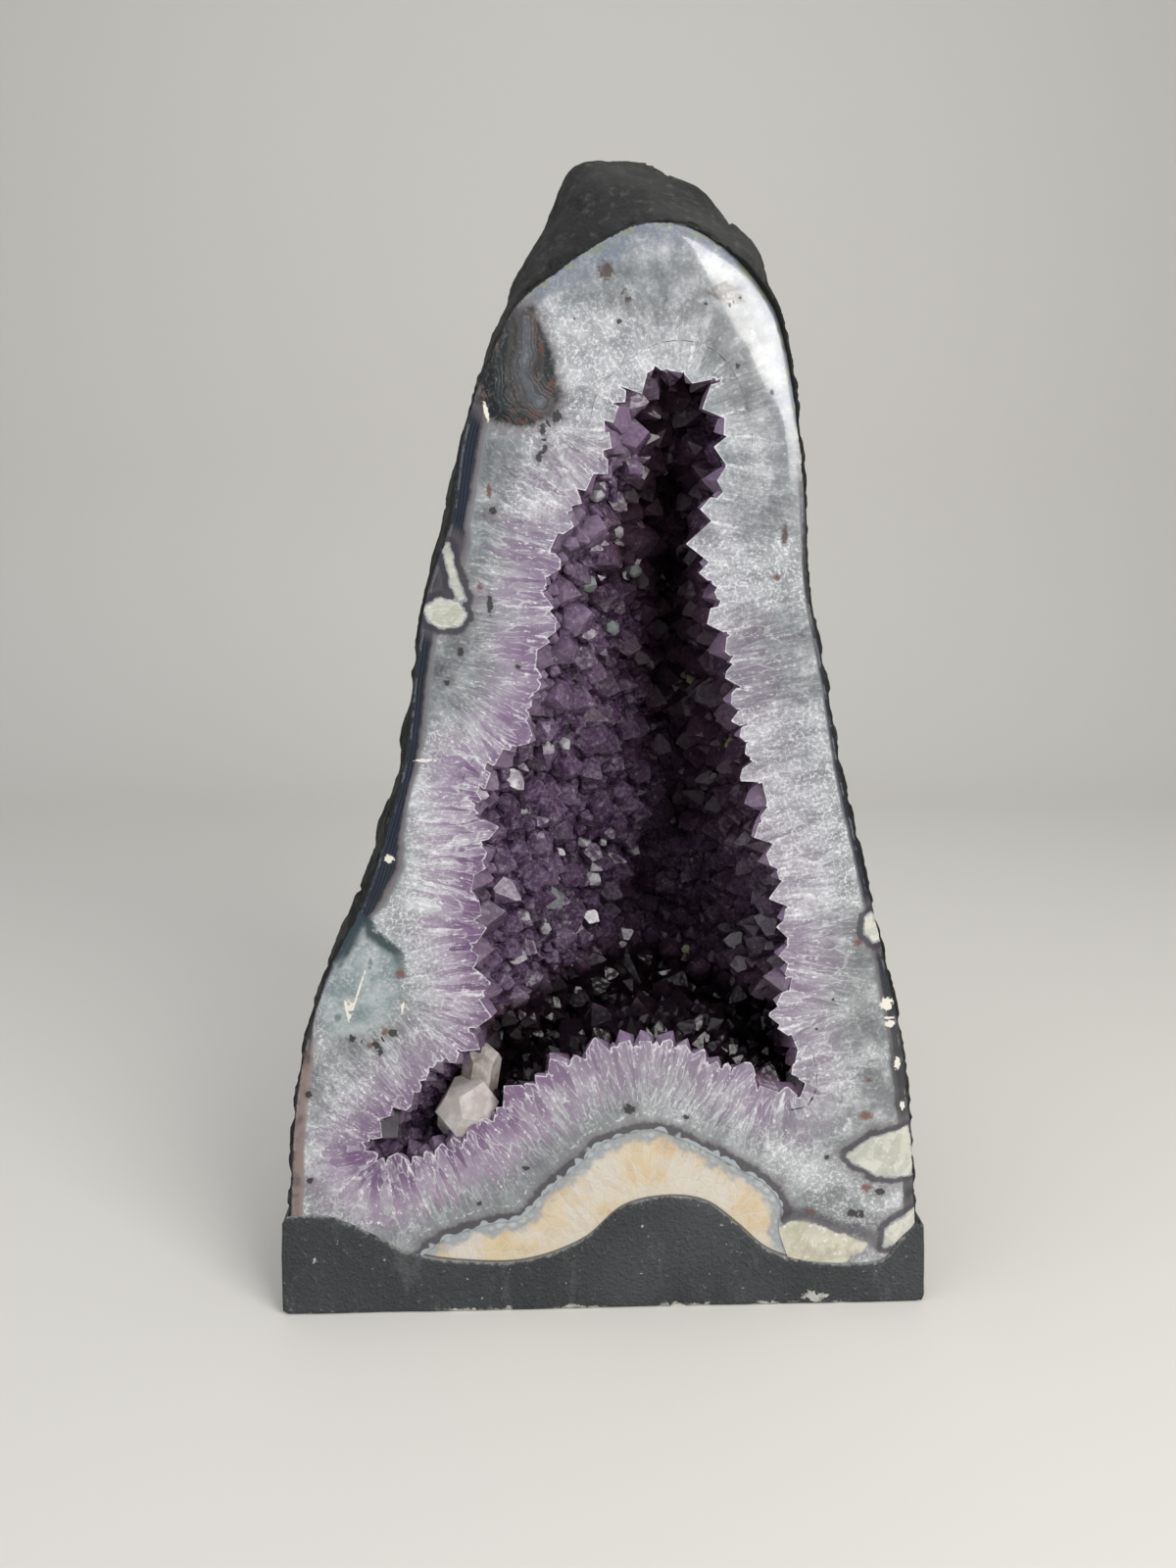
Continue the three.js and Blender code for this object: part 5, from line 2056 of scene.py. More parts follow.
@dataclass
class AmethystCrust:
    """The crust of amethyst crystals that lines the hollow, sawn flush at the face."""

    form: RockForm
    hollow: Hollow
    face_map: FaceMap
    finish: AmethystFinish = field(default_factory=AmethystFinish)
    skin_columns: int = 150
    skin_rows: int = 44
    front_start: float = -0.06
    pitch: float = 13.0
    hump_pitch: float = 9.0
    infill_pitch: float = 6.0
    marked_root: float = 13.0
    bulge_tries: int = 600
    bulge_from: float = 0.22
    bulge_gap: float = 33.0
    bulge_radii: Pair = (13.0, 19.0)
    bulge_heights: Pair = (6.0, 13.0)
    bulge_limit: float = 12.0
    low_band: Pair = (110.0, 150.0)
    sample_columns: int = 240
    sample_rows: int = 60
    deep_share: float = 0.06
    face_gap: float = 0.8
    cell: float = 10.0
    cut_spacing: float = 1.5
    cut_margin: float = 0.6
    sawn_depth: float = 0.02
    tip_reach: float = 3.0
    # Painted shade: where it starts faint near the face on the right, and the dark painted shadow on the
    # floor behind the lip
    painted_shade_start: float = 0.4
    painted_shade_across: Pair = (25.0, 60.0)
    painted_shade_below: Pair = (310.0, 280.0)
    painted_shade_band: Pair = (4.0, 26.0)
    lip_painted_shade: float = 1.15
    lip_across: Pair = (-75.0, -45.0)
    lip_below: Pair = (158.0, 138.0)
    lip_band: Pair = (2.0, 9.0)
    seed: int = 12
    # Bright crystals stand for painted glints and straw ones for painted reflections of a yellowish
    # light; milky and dusk ones are the crystals' own colour
    marked: tuple[MarkedCrystal, ...] = (
        MarkedCrystal((-24.5, -30.4, 187.8), 9.5, 7.0, CrystalTint.MILKY),
        MarkedCrystal((51.9, 1.6, 304.1), 4.0, 4.0, CrystalTint.STRAW_REFLECTION),
        MarkedCrystal((66.5, -47.0, 275.3), 3.6, 4.0, CrystalTint.STRAW_REFLECTION),
        MarkedCrystal((50.1, -9.9, 150.6), 2.6, 4.0, CrystalTint.STRAW_REFLECTION),
        MarkedCrystal((-7.9, -21.6, 216.8), 3.4, 3.6, CrystalTint.PAINTED_GLINT),
        MarkedCrystal((23.6, 22.6, 199.5), 3.0, 3.4, CrystalTint.PAINTED_GLINT),
        MarkedCrystal((-1.7, -13.5, 193.6), 4.4, 4.6, CrystalTint.PAINTED_GLINT),
        MarkedCrystal((-40.4, -60.9, 188.4), 3.0, 4.6, CrystalTint.PAINTED_GLINT),
        MarkedCrystal((-29.3, -47.6, 176.7), 3.0, 3.2, CrystalTint.PAINTED_GLINT),
        MarkedCrystal((-2.7, -74.0, 400.0), 3.0, 4.0, CrystalTint.PAINTED_GLINT),
        MarkedCrystal((9.1, -39.5, 382.9), 3.4, 3.6, CrystalTint.PAINTED_GLINT),
        MarkedCrystal((17.9, -35.8, 363.3), 3.4, 3.6, CrystalTint.MILKY),
        MarkedCrystal((-6.1, -55.5, 357.8), 4.4, 4.6, CrystalTint.MILKY),
        MarkedCrystal((6.0, -42.9, 335.0), 3.8, 4.2, CrystalTint.MILKY),
        MarkedCrystal((-18.3, -57.3, 277.5), 2.6, 3.4, CrystalTint.PAINTED_GLINT),
        MarkedCrystal((-106.0, -104.0, 92.0), 11.5, 6.0, CrystalTint.DUSK),
    )
    # Painted shade of the hollow at places on the face: darkest in the crevice on the right and on the
    # floor behind the lip
    painted_shade_spots: Spots = (
        (25, 445, 0.8), (36, 405, 1.0), (38, 365, 1.0), (34, 335, 0.9), (42, 300, 0.7), (46, 262, 0.6),
        (51, 227, 0.7), (29, 179, 0.6), (62, 370, 0.3), (78, 300, 0.4), (90, 240, 0.35), (75, 205, 0.3),
        (88, 195, 0.35), (95, 150, 0.6), (-5, 410, 0.2), (-20, 370, 0.05), (5, 340, 0.15),
        (-40, 300, 0.0), (50, 420, 0.4), (54, 390, 0.3), (58, 350, 0.35), (68, 325, 0.4),
        (20, 375, 0.5), (18, 335, 0.35), (10, 290, 0.15), (-50, 230, 0.0), (0, 240, -0.15),
        (25, 235, -0.1), (10, 200, 0.0), (45, 190, 0.3), (-40, 180, 0.0), (-10, 165, 0.1),
        (20, 150, 0.35), (-30, 150, 0.1), (60, 155, 0.45), (-25, 118, 0.8), (10, 120, 0.95),
        (40, 120, 1.0), (70, 115, 1.0), (95, 112, 0.9), (-60, 115, 0.4), (-100, 95, 0.15),
    )

    def __post_init__(self) -> None:
        """Places the rounded clusters on the wall, each with a centre, a radius and a height."""
        rng = np.random.default_rng(self.seed)
        count = self.bulge_tries
        kept: list[Array] = []
        for place in self.hollow.wall(rng.random(count), rng.uniform(self.bulge_from, 1.0, count)):
            if all(np.linalg.norm(place - other[:3]) > self.bulge_gap for other in kept):
                size = rng.uniform(*self.bulge_radii), rng.uniform(*self.bulge_heights)
                kept.append(np.append(place, size))
        self.bulges = np.array(kept)

    def lined(self, share: Array, s: Array) -> Array:
        """The wall with its rounded clusters.

        Args:
            share: Place round the hollow's edge.
            s: Place from the face (0) to the deepest line (1).

        Returns:
            The points, shape (n, 3).
        """
        wall = self.hollow.wall(share, s)
        away = np.sum((wall[:, None, :] - self.bulges[None, :, :3]) ** 2, axis=2)
        height = (self.bulges[:, 4] * np.exp(-away / self.bulges[:, 3] ** 2)).sum(axis=1)
        normal = self.hollow.normal(share, np.clip(s, self.hollow.least_share, 1.0))
        return wall + normal * np.minimum(height, self.bulge_limit)[:, None]

    def lined_normal(self, share: Array, s: Array) -> Array:
        """Directions from the clustered wall into the open hollow.

        Args:
            share: Place round the hollow's edge.
            s: Place from the face (0) to the deepest line (1).

        Returns:
            The directions, shape (n, 3).
        """
        probe = 0.008
        around = self.lined(share + probe, s) - self.lined(share - probe, s)
        inward = self.lined(share, np.minimum(s + probe, 1.0)) - self.lined(share, s - probe)
        return unit(np.cross(inward, around))

    def samples(self) -> tuple[Array, Array]:
        """Places all over the clustered wall, and the directions off it.

        Returns:
            Both, shape (n, 3).
        """
        rows, columns = self.sample_rows, self.sample_columns
        share = np.tile(np.arange(columns) / float(columns), rows)
        s = np.repeat(np.linspace(0.0, 1.0, rows), columns)
        return self.lined(share, s), self.lined_normal(share, s)

    def skin(self) -> Piece:
        """The closed layer that the crystals stand on.

        Returns:
            The layer, which grows into the crust.
        """
        share = np.arange(self.skin_columns) / self.skin_columns
        depths = np.concatenate([[self.front_start], np.linspace(0.0, 1.0, self.skin_rows)])
        inner, outer = [], []
        for s in depths:
            level = np.full(self.skin_columns, s)
            inner.append(self.lined(share, level))
            outer.append(self.hollow.behind(share, level))
        outer[-1][:, 1] += self.hollow.crust_thickness
        rows, columns = len(depths), self.skin_columns
        points = np.concatenate(inner + outer)
        faces = grid_faces(rows, columns, True)
        faces += [f[::-1] for f in grid_faces(rows, columns, True, rows * columns)]
        faces += [
            (i, rows * columns + i, rows * columns + (i + 1) % columns, (i + 1) % columns)
            for i in range(columns)
        ]
        first = (rows - 1) * columns
        faces += rung_faces(range(first, first + columns))
        first += rows * columns
        faces += [f[::-1] for f in rung_faces(range(first, first + columns))]
        piece = new_object("amethyst_crust_crystals", points, faces, smooth=False)
        with edited(piece) as work:
            bmesh.ops.triangulate(work, faces=work.faces)
            bmesh.ops.recalc_face_normals(work, faces=work.faces)
            if work.calc_volume(signed=True) < 0.0:
                bmesh.ops.reverse_faces(work, faces=work.faces)
        set_values(piece, "tint", np.full(len(piece.data.polygons), 0.4), "FACE")
        return piece

    def front_seeds(self, rng: np.random.Generator) -> list[CrystalSeed]:
        """The crystals along the sawn edge, which the saw cut through lengthways.

        Args:
            rng: Source of the differences between them.

        Returns:
            The crystals.
        """
        seeds = []
        line = self.hollow.edge_line
        for (place, gap), tint in zip(self.face_map.front_places, self.face_map.front_tints):
            share = np.array([place / line.length])
            flat, along = line.at(share)[0], line.tangent(share)[0]
            inward = np.array([along[1], -along[0]])
            lean = rng.normal(0.0, 0.16)
            side, upright = inward + along * lean
            axis = np.array([side, rng.uniform(-0.3, 0.2), upright])
            radius = gap * rng.uniform(0.5, 0.64)
            behind = rng.uniform(-0.1, 0.95) * radius
            root = self.form.on_face(flat[None, :], behind)[0]
            height = min(gap, 14.0) * rng.uniform(0.5, 0.95) + 2.0
            seeds.append(CrystalSeed(root, unit(axis), radius, height, 5.0, float(tint)))
            flat, along = line.at((share + gap / 2.0 / line.length) % 1.0)[0], line.tangent(share)[0]
            axis = np.array([along[1], rng.uniform(-0.3, 0.1), -along[0]])
            root = self.form.on_face(flat[None, :], rng.uniform(0.1, 0.5) * radius)[0]
            seeds.append(CrystalSeed(root, unit(axis), radius * 0.7, gap * 0.35 + 1.0, 5.0, float(tint)))
        return seeds

    def marked_seeds(self) -> list[CrystalSeed]:
        """The crystals that stand out by their tint, rooted in the wall.

        Returns:
            The crystals.
        """
        wall, normal = self.samples()
        seeds = []
        for crystal in self.marked:
            nearest = np.argmin(np.sum((wall - crystal.at) ** 2, axis=1))
            axis = unit(normal[nearest] + np.array([0.0, -0.5, 0.1]))
            size = crystal.radius, crystal.height, self.marked_root
            seeds.append(CrystalSeed(np.array(crystal.at), axis, *size, crystal.tint.value))
        return seeds

    def scattered(
        self,
        rng: np.random.Generator,
        taken: list[Array],
        pitch: Callable[[Array], Array],
        tries: int,
    ) -> list[tuple[Array, Array, float]]:
        """Picks places on the wall that keep their distance from each other.

        Args:
            rng: Source of the places.
            taken: Places that are in use already. New ones are added.
            pitch: Gives the distance to keep at each place.
            tries: How many places are tried.

        Returns:
            The place, the direction off the wall and the distance kept, for each one.
        """
        share, s = rng.random(tries), rng.uniform(0.03, 1.0, tries)
        places, normals = self.lined(share, s), self.lined_normal(share, s)
        deep = rng.random(tries) < self.deep_share
        across = rng.random(tries)[:, None]
        line = self.hollow.deep_line
        ends = self.hollow.wall(share, np.ones(tries))
        across_x = np.interp(ends[:, 2], line.points[::-1, 1], line.points[::-1, 0])
        middle = np.column_stack([across_x, ends[:, 1:]])
        places = np.where(deep[:, None], lerp(ends, middle, across), places)
        normals = np.where(deep[:, None], np.array([0.0, -1.0, 0.05]), normals)
        gaps = pitch(places)
        behind_face = places[:, 1] - self.form.face_y(places[:, 2])
        chosen = []
        buckets: dict[tuple[int, int, int], list[Array]] = {}
        for place in taken:
            buckets.setdefault(tuple(np.floor(place / self.cell).astype(int)), []).append(place)
        for place, normal, gap, depth in zip(places, normals, gaps, behind_face):
            if depth < gap * self.face_gap:
                continue
            key = np.floor(place / self.cell).astype(int)
            reach = int(math.ceil(gap / self.cell))
            near = (
                other
                for offset in itertools.product(range(-reach, reach + 1), repeat=3)
                for other in buckets.get(tuple(key + offset), ())
            )
            if any(np.sum((place - other) ** 2) < gap * gap for other in near):
                continue
            buckets.setdefault(tuple(key), []).append(place)
            taken.append(place)
            chosen.append((place, normal, float(gap)))
        return chosen

    def seeds(self) -> list[CrystalSeed]:
        """All crystals: along the sawn edge, over the wall, and small ones between them.

        Returns:
            The crystals.
        """
        rng = np.random.default_rng(self.seed)
        seeds = self.front_seeds(rng) + self.marked_seeds()
        taken = [seed.root for seed in seeds]

        def large(places: Array) -> Array:
            """Distance between the large crystals, closer together low in the hollow."""
            low = 1.0 - smoothstep(places[:, 2], *self.low_band)
            pitch = lerp(self.pitch, self.hump_pitch, low)
            return pitch * (1.0 + 0.3 * soft_noise(places, 40.0, 7))

        def small(places: Array) -> Array:
            """Distance between the small crystals."""
            return np.full(len(places), self.infill_pitch)

        for spread, rise, lean, places in (
            (0.62, 0.92, 0.2, self.scattered(rng, taken, large, 14000)),
            (0.64, 1.0, 0.3, self.scattered(rng, taken, small, 12000)),
        ):
            for place, normal, gap in places:
                axis = unit(normal + rng.normal(0.0, lean, 3))
                radius = gap * spread * rng.uniform(0.82, 1.22)
                height = gap * rise * rng.uniform(0.75, 1.25)
                seeds.append(CrystalSeed(place, axis, radius, height, 4.5, float(rng.random())))
        return seeds

    def groups(self, seeds: Sequence[CrystalSeed]) -> list[list[int]]:
        """Sorts the crystals into groups in which none touches another.

        Args:
            seeds: The crystals.

        Returns:
            The numbers of the crystals of each group.
        """
        steps = np.linspace(0.0, 1.0, 4)
        roots = np.array([s.root - s.axis * s.buried for s in seeds])
        tips = np.array([s.root + s.axis * s.height for s in seeds])
        radii = np.array([s.radius for s in seeds]) * 1.22
        middles = (roots + tips) / 2.0
        reach = np.linalg.norm(tips - roots, axis=1) / 2.0 + radii
        lines = roots[:, None, :] + (tips - roots)[:, None, :] * steps[None, :, None]
        colours = np.full(len(seeds), -1)
        for i in range(len(seeds)):
            near = np.flatnonzero(np.linalg.norm(middles[:i] - middles[i], axis=1) < reach[:i] + reach[i])
            if len(near):
                gap = lines[near][:, :, None, :] - lines[i][None, None, :, :]
                closest = np.sqrt((gap**2).sum(axis=3)).min(axis=(1, 2))
                touching = near[closest < radii[near] + radii[i] + 1.5]
                used = set(colours[touching].tolist())
            else:
                used = set()
            colour = 0
            while colour in used:
                colour += 1
            colours[i] = colour
        return [np.flatnonzero(colours == c).tolist() for c in range(colours.max() + 1)]

    def crystals(self, seeds: Sequence[CrystalSeed]) -> list[Piece]:
        """Cuts the crystals, one object for each group.

        Args:
            seeds: The crystals.

        Returns:
            The objects.
        """
        rng = np.random.default_rng(self.seed + 1)
        cutter = CrystalCutter()
        shapes = [cutter.corners(seed, rng) for seed in seeds]
        made = []
        for group in self.groups(seeds):
            work = bmesh.new()
            tint = work.faces.layers.float.new("tint")
            for k in group:
                corners = [work.verts.new(Vector(corner) * METRES) for corner in shapes[k]]
                hull = bmesh.ops.convex_hull(work, input=corners)
                for side in hull["geom"]:
                    if isinstance(side, bmesh.types.BMFace):
                        side[tint] = seeds[k].tint
            loose = [corner for corner in work.verts if not corner.link_faces]
            bmesh.ops.delete(work, geom=loose, context="VERTS")
            part = new_object("crystals", np.empty((0, 3)), [], smooth=False)
            work.to_mesh(part.data)
            work.free()
            made.append(part)
        return made

    def saw(self, piece: Piece) -> None:
        """Saws the crust off at the face and lays an even mesh over the cut.

        Args:
            piece: The crust.
        """
        out = Vector((0.0, -math.cos(self.form.lean), math.sin(self.form.lean)))
        start = Vector((0.0, self.form.front_y * METRES, 0.0))
        with edited(piece) as work:
            bmesh.ops.bisect_plane(
                work, geom=work.verts[:] + work.edges[:] + work.faces[:], dist=1e-7,
                plane_co=start, plane_no=out, clear_outer=True,
            )
            rim = [e for e in work.edges if e.is_boundary]
            numbers: dict[bmesh.types.BMVert, int] = {}
            for edge in rim:
                for corner in edge.verts:
                    numbers.setdefault(corner, len(numbers))
            border = np.array([(v.co.x, v.co.z) for v in numbers]) / METRES
            pairs = [(numbers[e.verts[0]], numbers[e.verts[1]]) for e in rim]
            corners, triangles = fill_edges(border, pairs, self.cut_spacing, self.cut_margin)
            new = [work.verts.new(Vector(p) * METRES) for p in self.form.on_face(corners)]
            for a, b, c in triangles:
                work.faces.new((new[c], new[b], new[a]))
            bmesh.ops.remove_doubles(work, verts=work.verts[:], dist=3e-6)
            bmesh.ops.triangulate(work, faces=work.faces[:])

    def describe(self, piece: Piece) -> None:
        """Stores the height over the wall, the sawn part, what the polished look reads, the painted shade
        of the hollow and where the painted highlights go.

        Args:
            piece: The crust.
        """
        points, faces = corners_of(piece), piece.data.polygons
        wall, normal = self.samples()
        finder = KDTree(len(wall))
        for k, place in enumerate(wall):
            finder.insert(place, k)
        finder.balance()
        nearest = np.array([finder.find(point)[1] for point in points])
        lift = ((points - wall[nearest]) * normal[nearest]).sum(axis=1)
        tints = np.zeros(len(faces), np.float32)
        piece.data.attributes["tint"].data.foreach_get("value", tints)
        piece.data.attributes.remove(piece.data.attributes["tint"])
        behind = points[:, 1] - self.form.face_y(points[:, 2])
        front = behind < self.sawn_depth
        sawn = np.array([all(front[v] for v in face.vertices) for face in faces])
        flat = points[:, [0, 2]]
        self.face_map.describe(piece, flat)
        piece.data.attributes.remove(piece.data.attributes["tint"])
        middles = np.array([np.mean([flat[v] for v in f.vertices], axis=0) for f in faces])
        _, along = nearest_on(self.hollow.edge_line.points, middles[sawn])
        crystals, _ = self.face_map.nearest_crystal(along)
        section = np.zeros(len(faces))
        section[sawn] = self.face_map.front_tints[crystals]
        set_values(piece, "tint", np.where(sawn, section, tints), "FACE")
        set_values(piece, "sawn", sawn.astype(float), "FACE")
        touching = [set(), set()]
        for face, cut in zip(faces, sawn):
            touching[int(cut)].update(face.vertices)
        # Painted highlight along the cut edge, where sawn faces meet the open crystal faces near the
        # hollow's edge
        tip = np.zeros(len(points))
        tip[list(touching[0] & touching[1])] = 1.0
        tip[beyond(self.hollow.edge_line.points, flat, closed=False) > self.tip_reach] = 0.0
        # Painted shade in the hollow: set by the spots, faint near the sawn face, and strongest on the
        # floor behind the lip
        x, z = flat.T
        start = self.painted_shade_start * smoothstep(x, *self.painted_shade_across) * smoothstep(z, *self.painted_shade_below)
        lip = smoothstep(x, *self.lip_across) * smoothstep(z, *self.lip_below)
        painted_shade = self.face_map.blend_spots(flat, self.painted_shade_spots)
        painted_shade *= lerp(start, 1.0, smoothstep(behind, *self.painted_shade_band))
        painted_shade = np.maximum(painted_shade, self.lip_painted_shade * lip * smoothstep(behind, *self.lip_band))
        set_values(piece, "tip", tip)
        set_values(piece, "lift", lift)
        set_values(piece, "behind", behind)
        set_values(piece, "painted_shade", painted_shade)
        # Painted highlight on the crystals' ridges
        set_values(piece, "ridge_highlight", self.ridges(piece, points))

    @staticmethod
    def ridges(piece: Piece, points: Array) -> Array:
        """How far each corner stands out above its neighbours, from -1 to 1.

        Args:
            piece: The crust.
            points: Its corners.

        Returns:
            One number for each corner.
        """
        mesh = piece.data
        ends = np.zeros(len(mesh.edges) * 2, np.int32)
        mesh.edges.foreach_get("vertices", ends)
        first, second = ends.reshape(-1, 2).T
        normals = np.zeros(len(points) * 3, np.float32)
        mesh.vertex_normals.foreach_get("vector", normals)
        normals = normals.reshape(-1, 3)
        step = unit(points[second] - points[first])
        total = np.bincount(first, -(normals[first] * step).sum(axis=1), len(points))
        total += np.bincount(second, (normals[second] * step).sum(axis=1), len(points))
        return total / np.maximum(1, np.bincount(ends, minlength=len(points)))

    def build(self) -> Piece:
        """Builds the crust.

        Returns:
            The piece.
        """
        piece = self.skin()
        seeds = self.seeds()
        join_solids(piece, self.crystals(seeds))
        log.info("crust: %d crystals, %d faces", len(seeds), len(piece.data.polygons))
        self.saw(piece)
        self.describe(piece)
        piece.data.shade_flat()
        piece.data.materials.clear()
        piece.data.materials.append(self.finish.material())
        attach(piece, "root")
        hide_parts("amethyst_crust")
        return piece


@dataclass
class CalciteSeam:
    """The cream calcite arch under the quartz."""

    form: RockForm
    finish: SeamFinish = field(default_factory=SeamFinish)
    foot_z: float = 15.0
    thickness: float = 45.0
    spacing: float = 1.8
    edge_round: float = 3.0
    edge_drop: float = 0.35

    def build(self) -> Piece:
        """Builds the seam.

        Returns:
            The piece.
        """
        edge = self.form.seam_line.points
        foot = np.array([[edge[-1, 0], self.foot_z], [edge[0, 0], self.foot_z]])
        outline = np.vstack([edge, foot])
        corners, triangles = fill_flat([outline], self.spacing, self.spacing * 0.45)
        away, along = nearest_on(edge, corners)
        relief = self.edge_drop * np.clip(1.0 - away / self.edge_round, 0.0, 1.0) ** 2
        front = self.form.on_face(corners, relief)
        back = front + np.array([0.0, self.thickness, 0.0])
        count, border = len(corners), len(outline)
        faces = [(c, b, a) for a, b, c in triangles]
        faces += [(a + count, b + count, c + count) for a, b, c in triangles]
        faces += [(i, (i + 1) % border, count + (i + 1) % border, count + i) for i in range(border)]
        piece = new_object("calcite_seam_arch", np.vstack([front, back]), faces)
        set_values(piece, "depth", np.tile(away, 2))
        set_values(piece, "along", np.tile(along, 2))
        above = front[:, 2] - self.form.cement_top(front[:, 0], front[:, 1])
        set_values(piece, "above", np.tile(above, 2))
        piece.data.materials.append(self.finish.material())
        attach(piece, "root")
        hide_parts("calcite_seam")
        return piece


@dataclass(frozen=True)
class CalciteShape:
    """One calcite crystal on the lip: its middle, size and tilt as in the solids."""

    at: Triple
    radius: float
    half: float
    tilt: Triple
    tint: float


@dataclass
class CalciteCluster:
    """The calcite crystals that stand on the lip of the hollow."""

    finish: CalciteFinish = field(default_factory=CalciteFinish)
    rhomb_slope: float = math.radians(44.0)
    bevel: float = 0.5
    shapes: tuple[CalciteShape, ...] = (
        CalciteShape((-70, -97, 99.5), 15.0, 18.5, (0.25, 0.5, 0.3), 0.1),
        CalciteShape((-63, -87, 113), 9.8, 16.5, (-0.12, 0.16, 0.1), 0.8),
        CalciteShape((-78, -93, 93), 7.0, 11.0, (0.5, 0.1, -0.6), 0.5),
    )

    def crystal(self, shape: CalciteShape) -> Piece:
        """Builds one crystal: six sides, and three rhomb faces on each end.

        Args:
            shape: Its place, size, tilt and tint.

        Returns:
            The crystal.
        """
        angles = np.arange(6) * math.pi / 3.0 + math.pi / 6.0
        across = np.stack([np.cos(angles), np.sin(angles), np.zeros(6)], axis=1)
        slope = self.rhomb_slope
        rise = np.array([0.0, 0.0, math.cos(slope)])
        up, down = across[::2] * math.sin(slope) + rise, across[1::2] * math.sin(slope) - rise
        normals = np.vstack([across, up, down])
        reach = shape.half * math.cos(slope)
        distances = np.repeat([shape.radius * 0.87, reach], 6)
        distances *= 1.0 + 0.05 * np.sin(np.arange(12) * 2.3)
        work = bmesh.new()
        span = shape.radius + shape.half
        bmesh.ops.create_cube(work, size=span * 3.0)
        for normal, distance in zip(normals, distances):
            cut = bmesh.ops.bisect_plane(
                work, geom=work.verts[:] + work.edges[:] + work.faces[:], dist=1e-4,
                plane_co=Vector(normal) * distance, plane_no=Vector(normal), clear_outer=True,
            )
            loop = [e for e in cut["geom_cut"] if isinstance(e, bmesh.types.BMEdge)]
            bmesh.ops.contextual_create(work, geom=loop)
        bmesh.ops.recalc_face_normals(work, faces=work.faces[:])
        mesh = bpy.data.meshes.new("calcite")
        work.to_mesh(mesh)
        work.free()
        turns = [Matrix.Rotation(angle, 3, axis) for angle, axis in zip(shape.tilt, "XYZ")]
        turn = (turns[0] @ turns[1] @ turns[2]).to_4x4()
        mesh.transform(Matrix.Translation(Vector(shape.at) * METRES) @ turn @ Matrix.Scale(METRES, 4))
        made = bpy.data.objects.new("calcite", mesh)
        bpy.context.scene.collection.objects.link(made)
        set_values(made, "tint", np.full(len(mesh.polygons), shape.tint), "FACE")
        return made

    def build(self) -> Piece:
        """Builds the cluster.

        Returns:
            The piece.
        """
        first, *others = (self.crystal(shape) for shape in self.shapes)
        join_solids(first, others)
        first.name = "calcite_crystals_lip"
        bevel = first.modifiers.new("edges", "BEVEL")
        bevel.width, bevel.segments, bevel.limit_method = self.bevel * METRES, 2, "ANGLE"
        apply_modifiers(first)
        first.data.shade_flat()
        first.data.materials.clear()
        first.data.materials.append(self.finish.material())
        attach(first, "root")
        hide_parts("calcite_crystals")
        return first


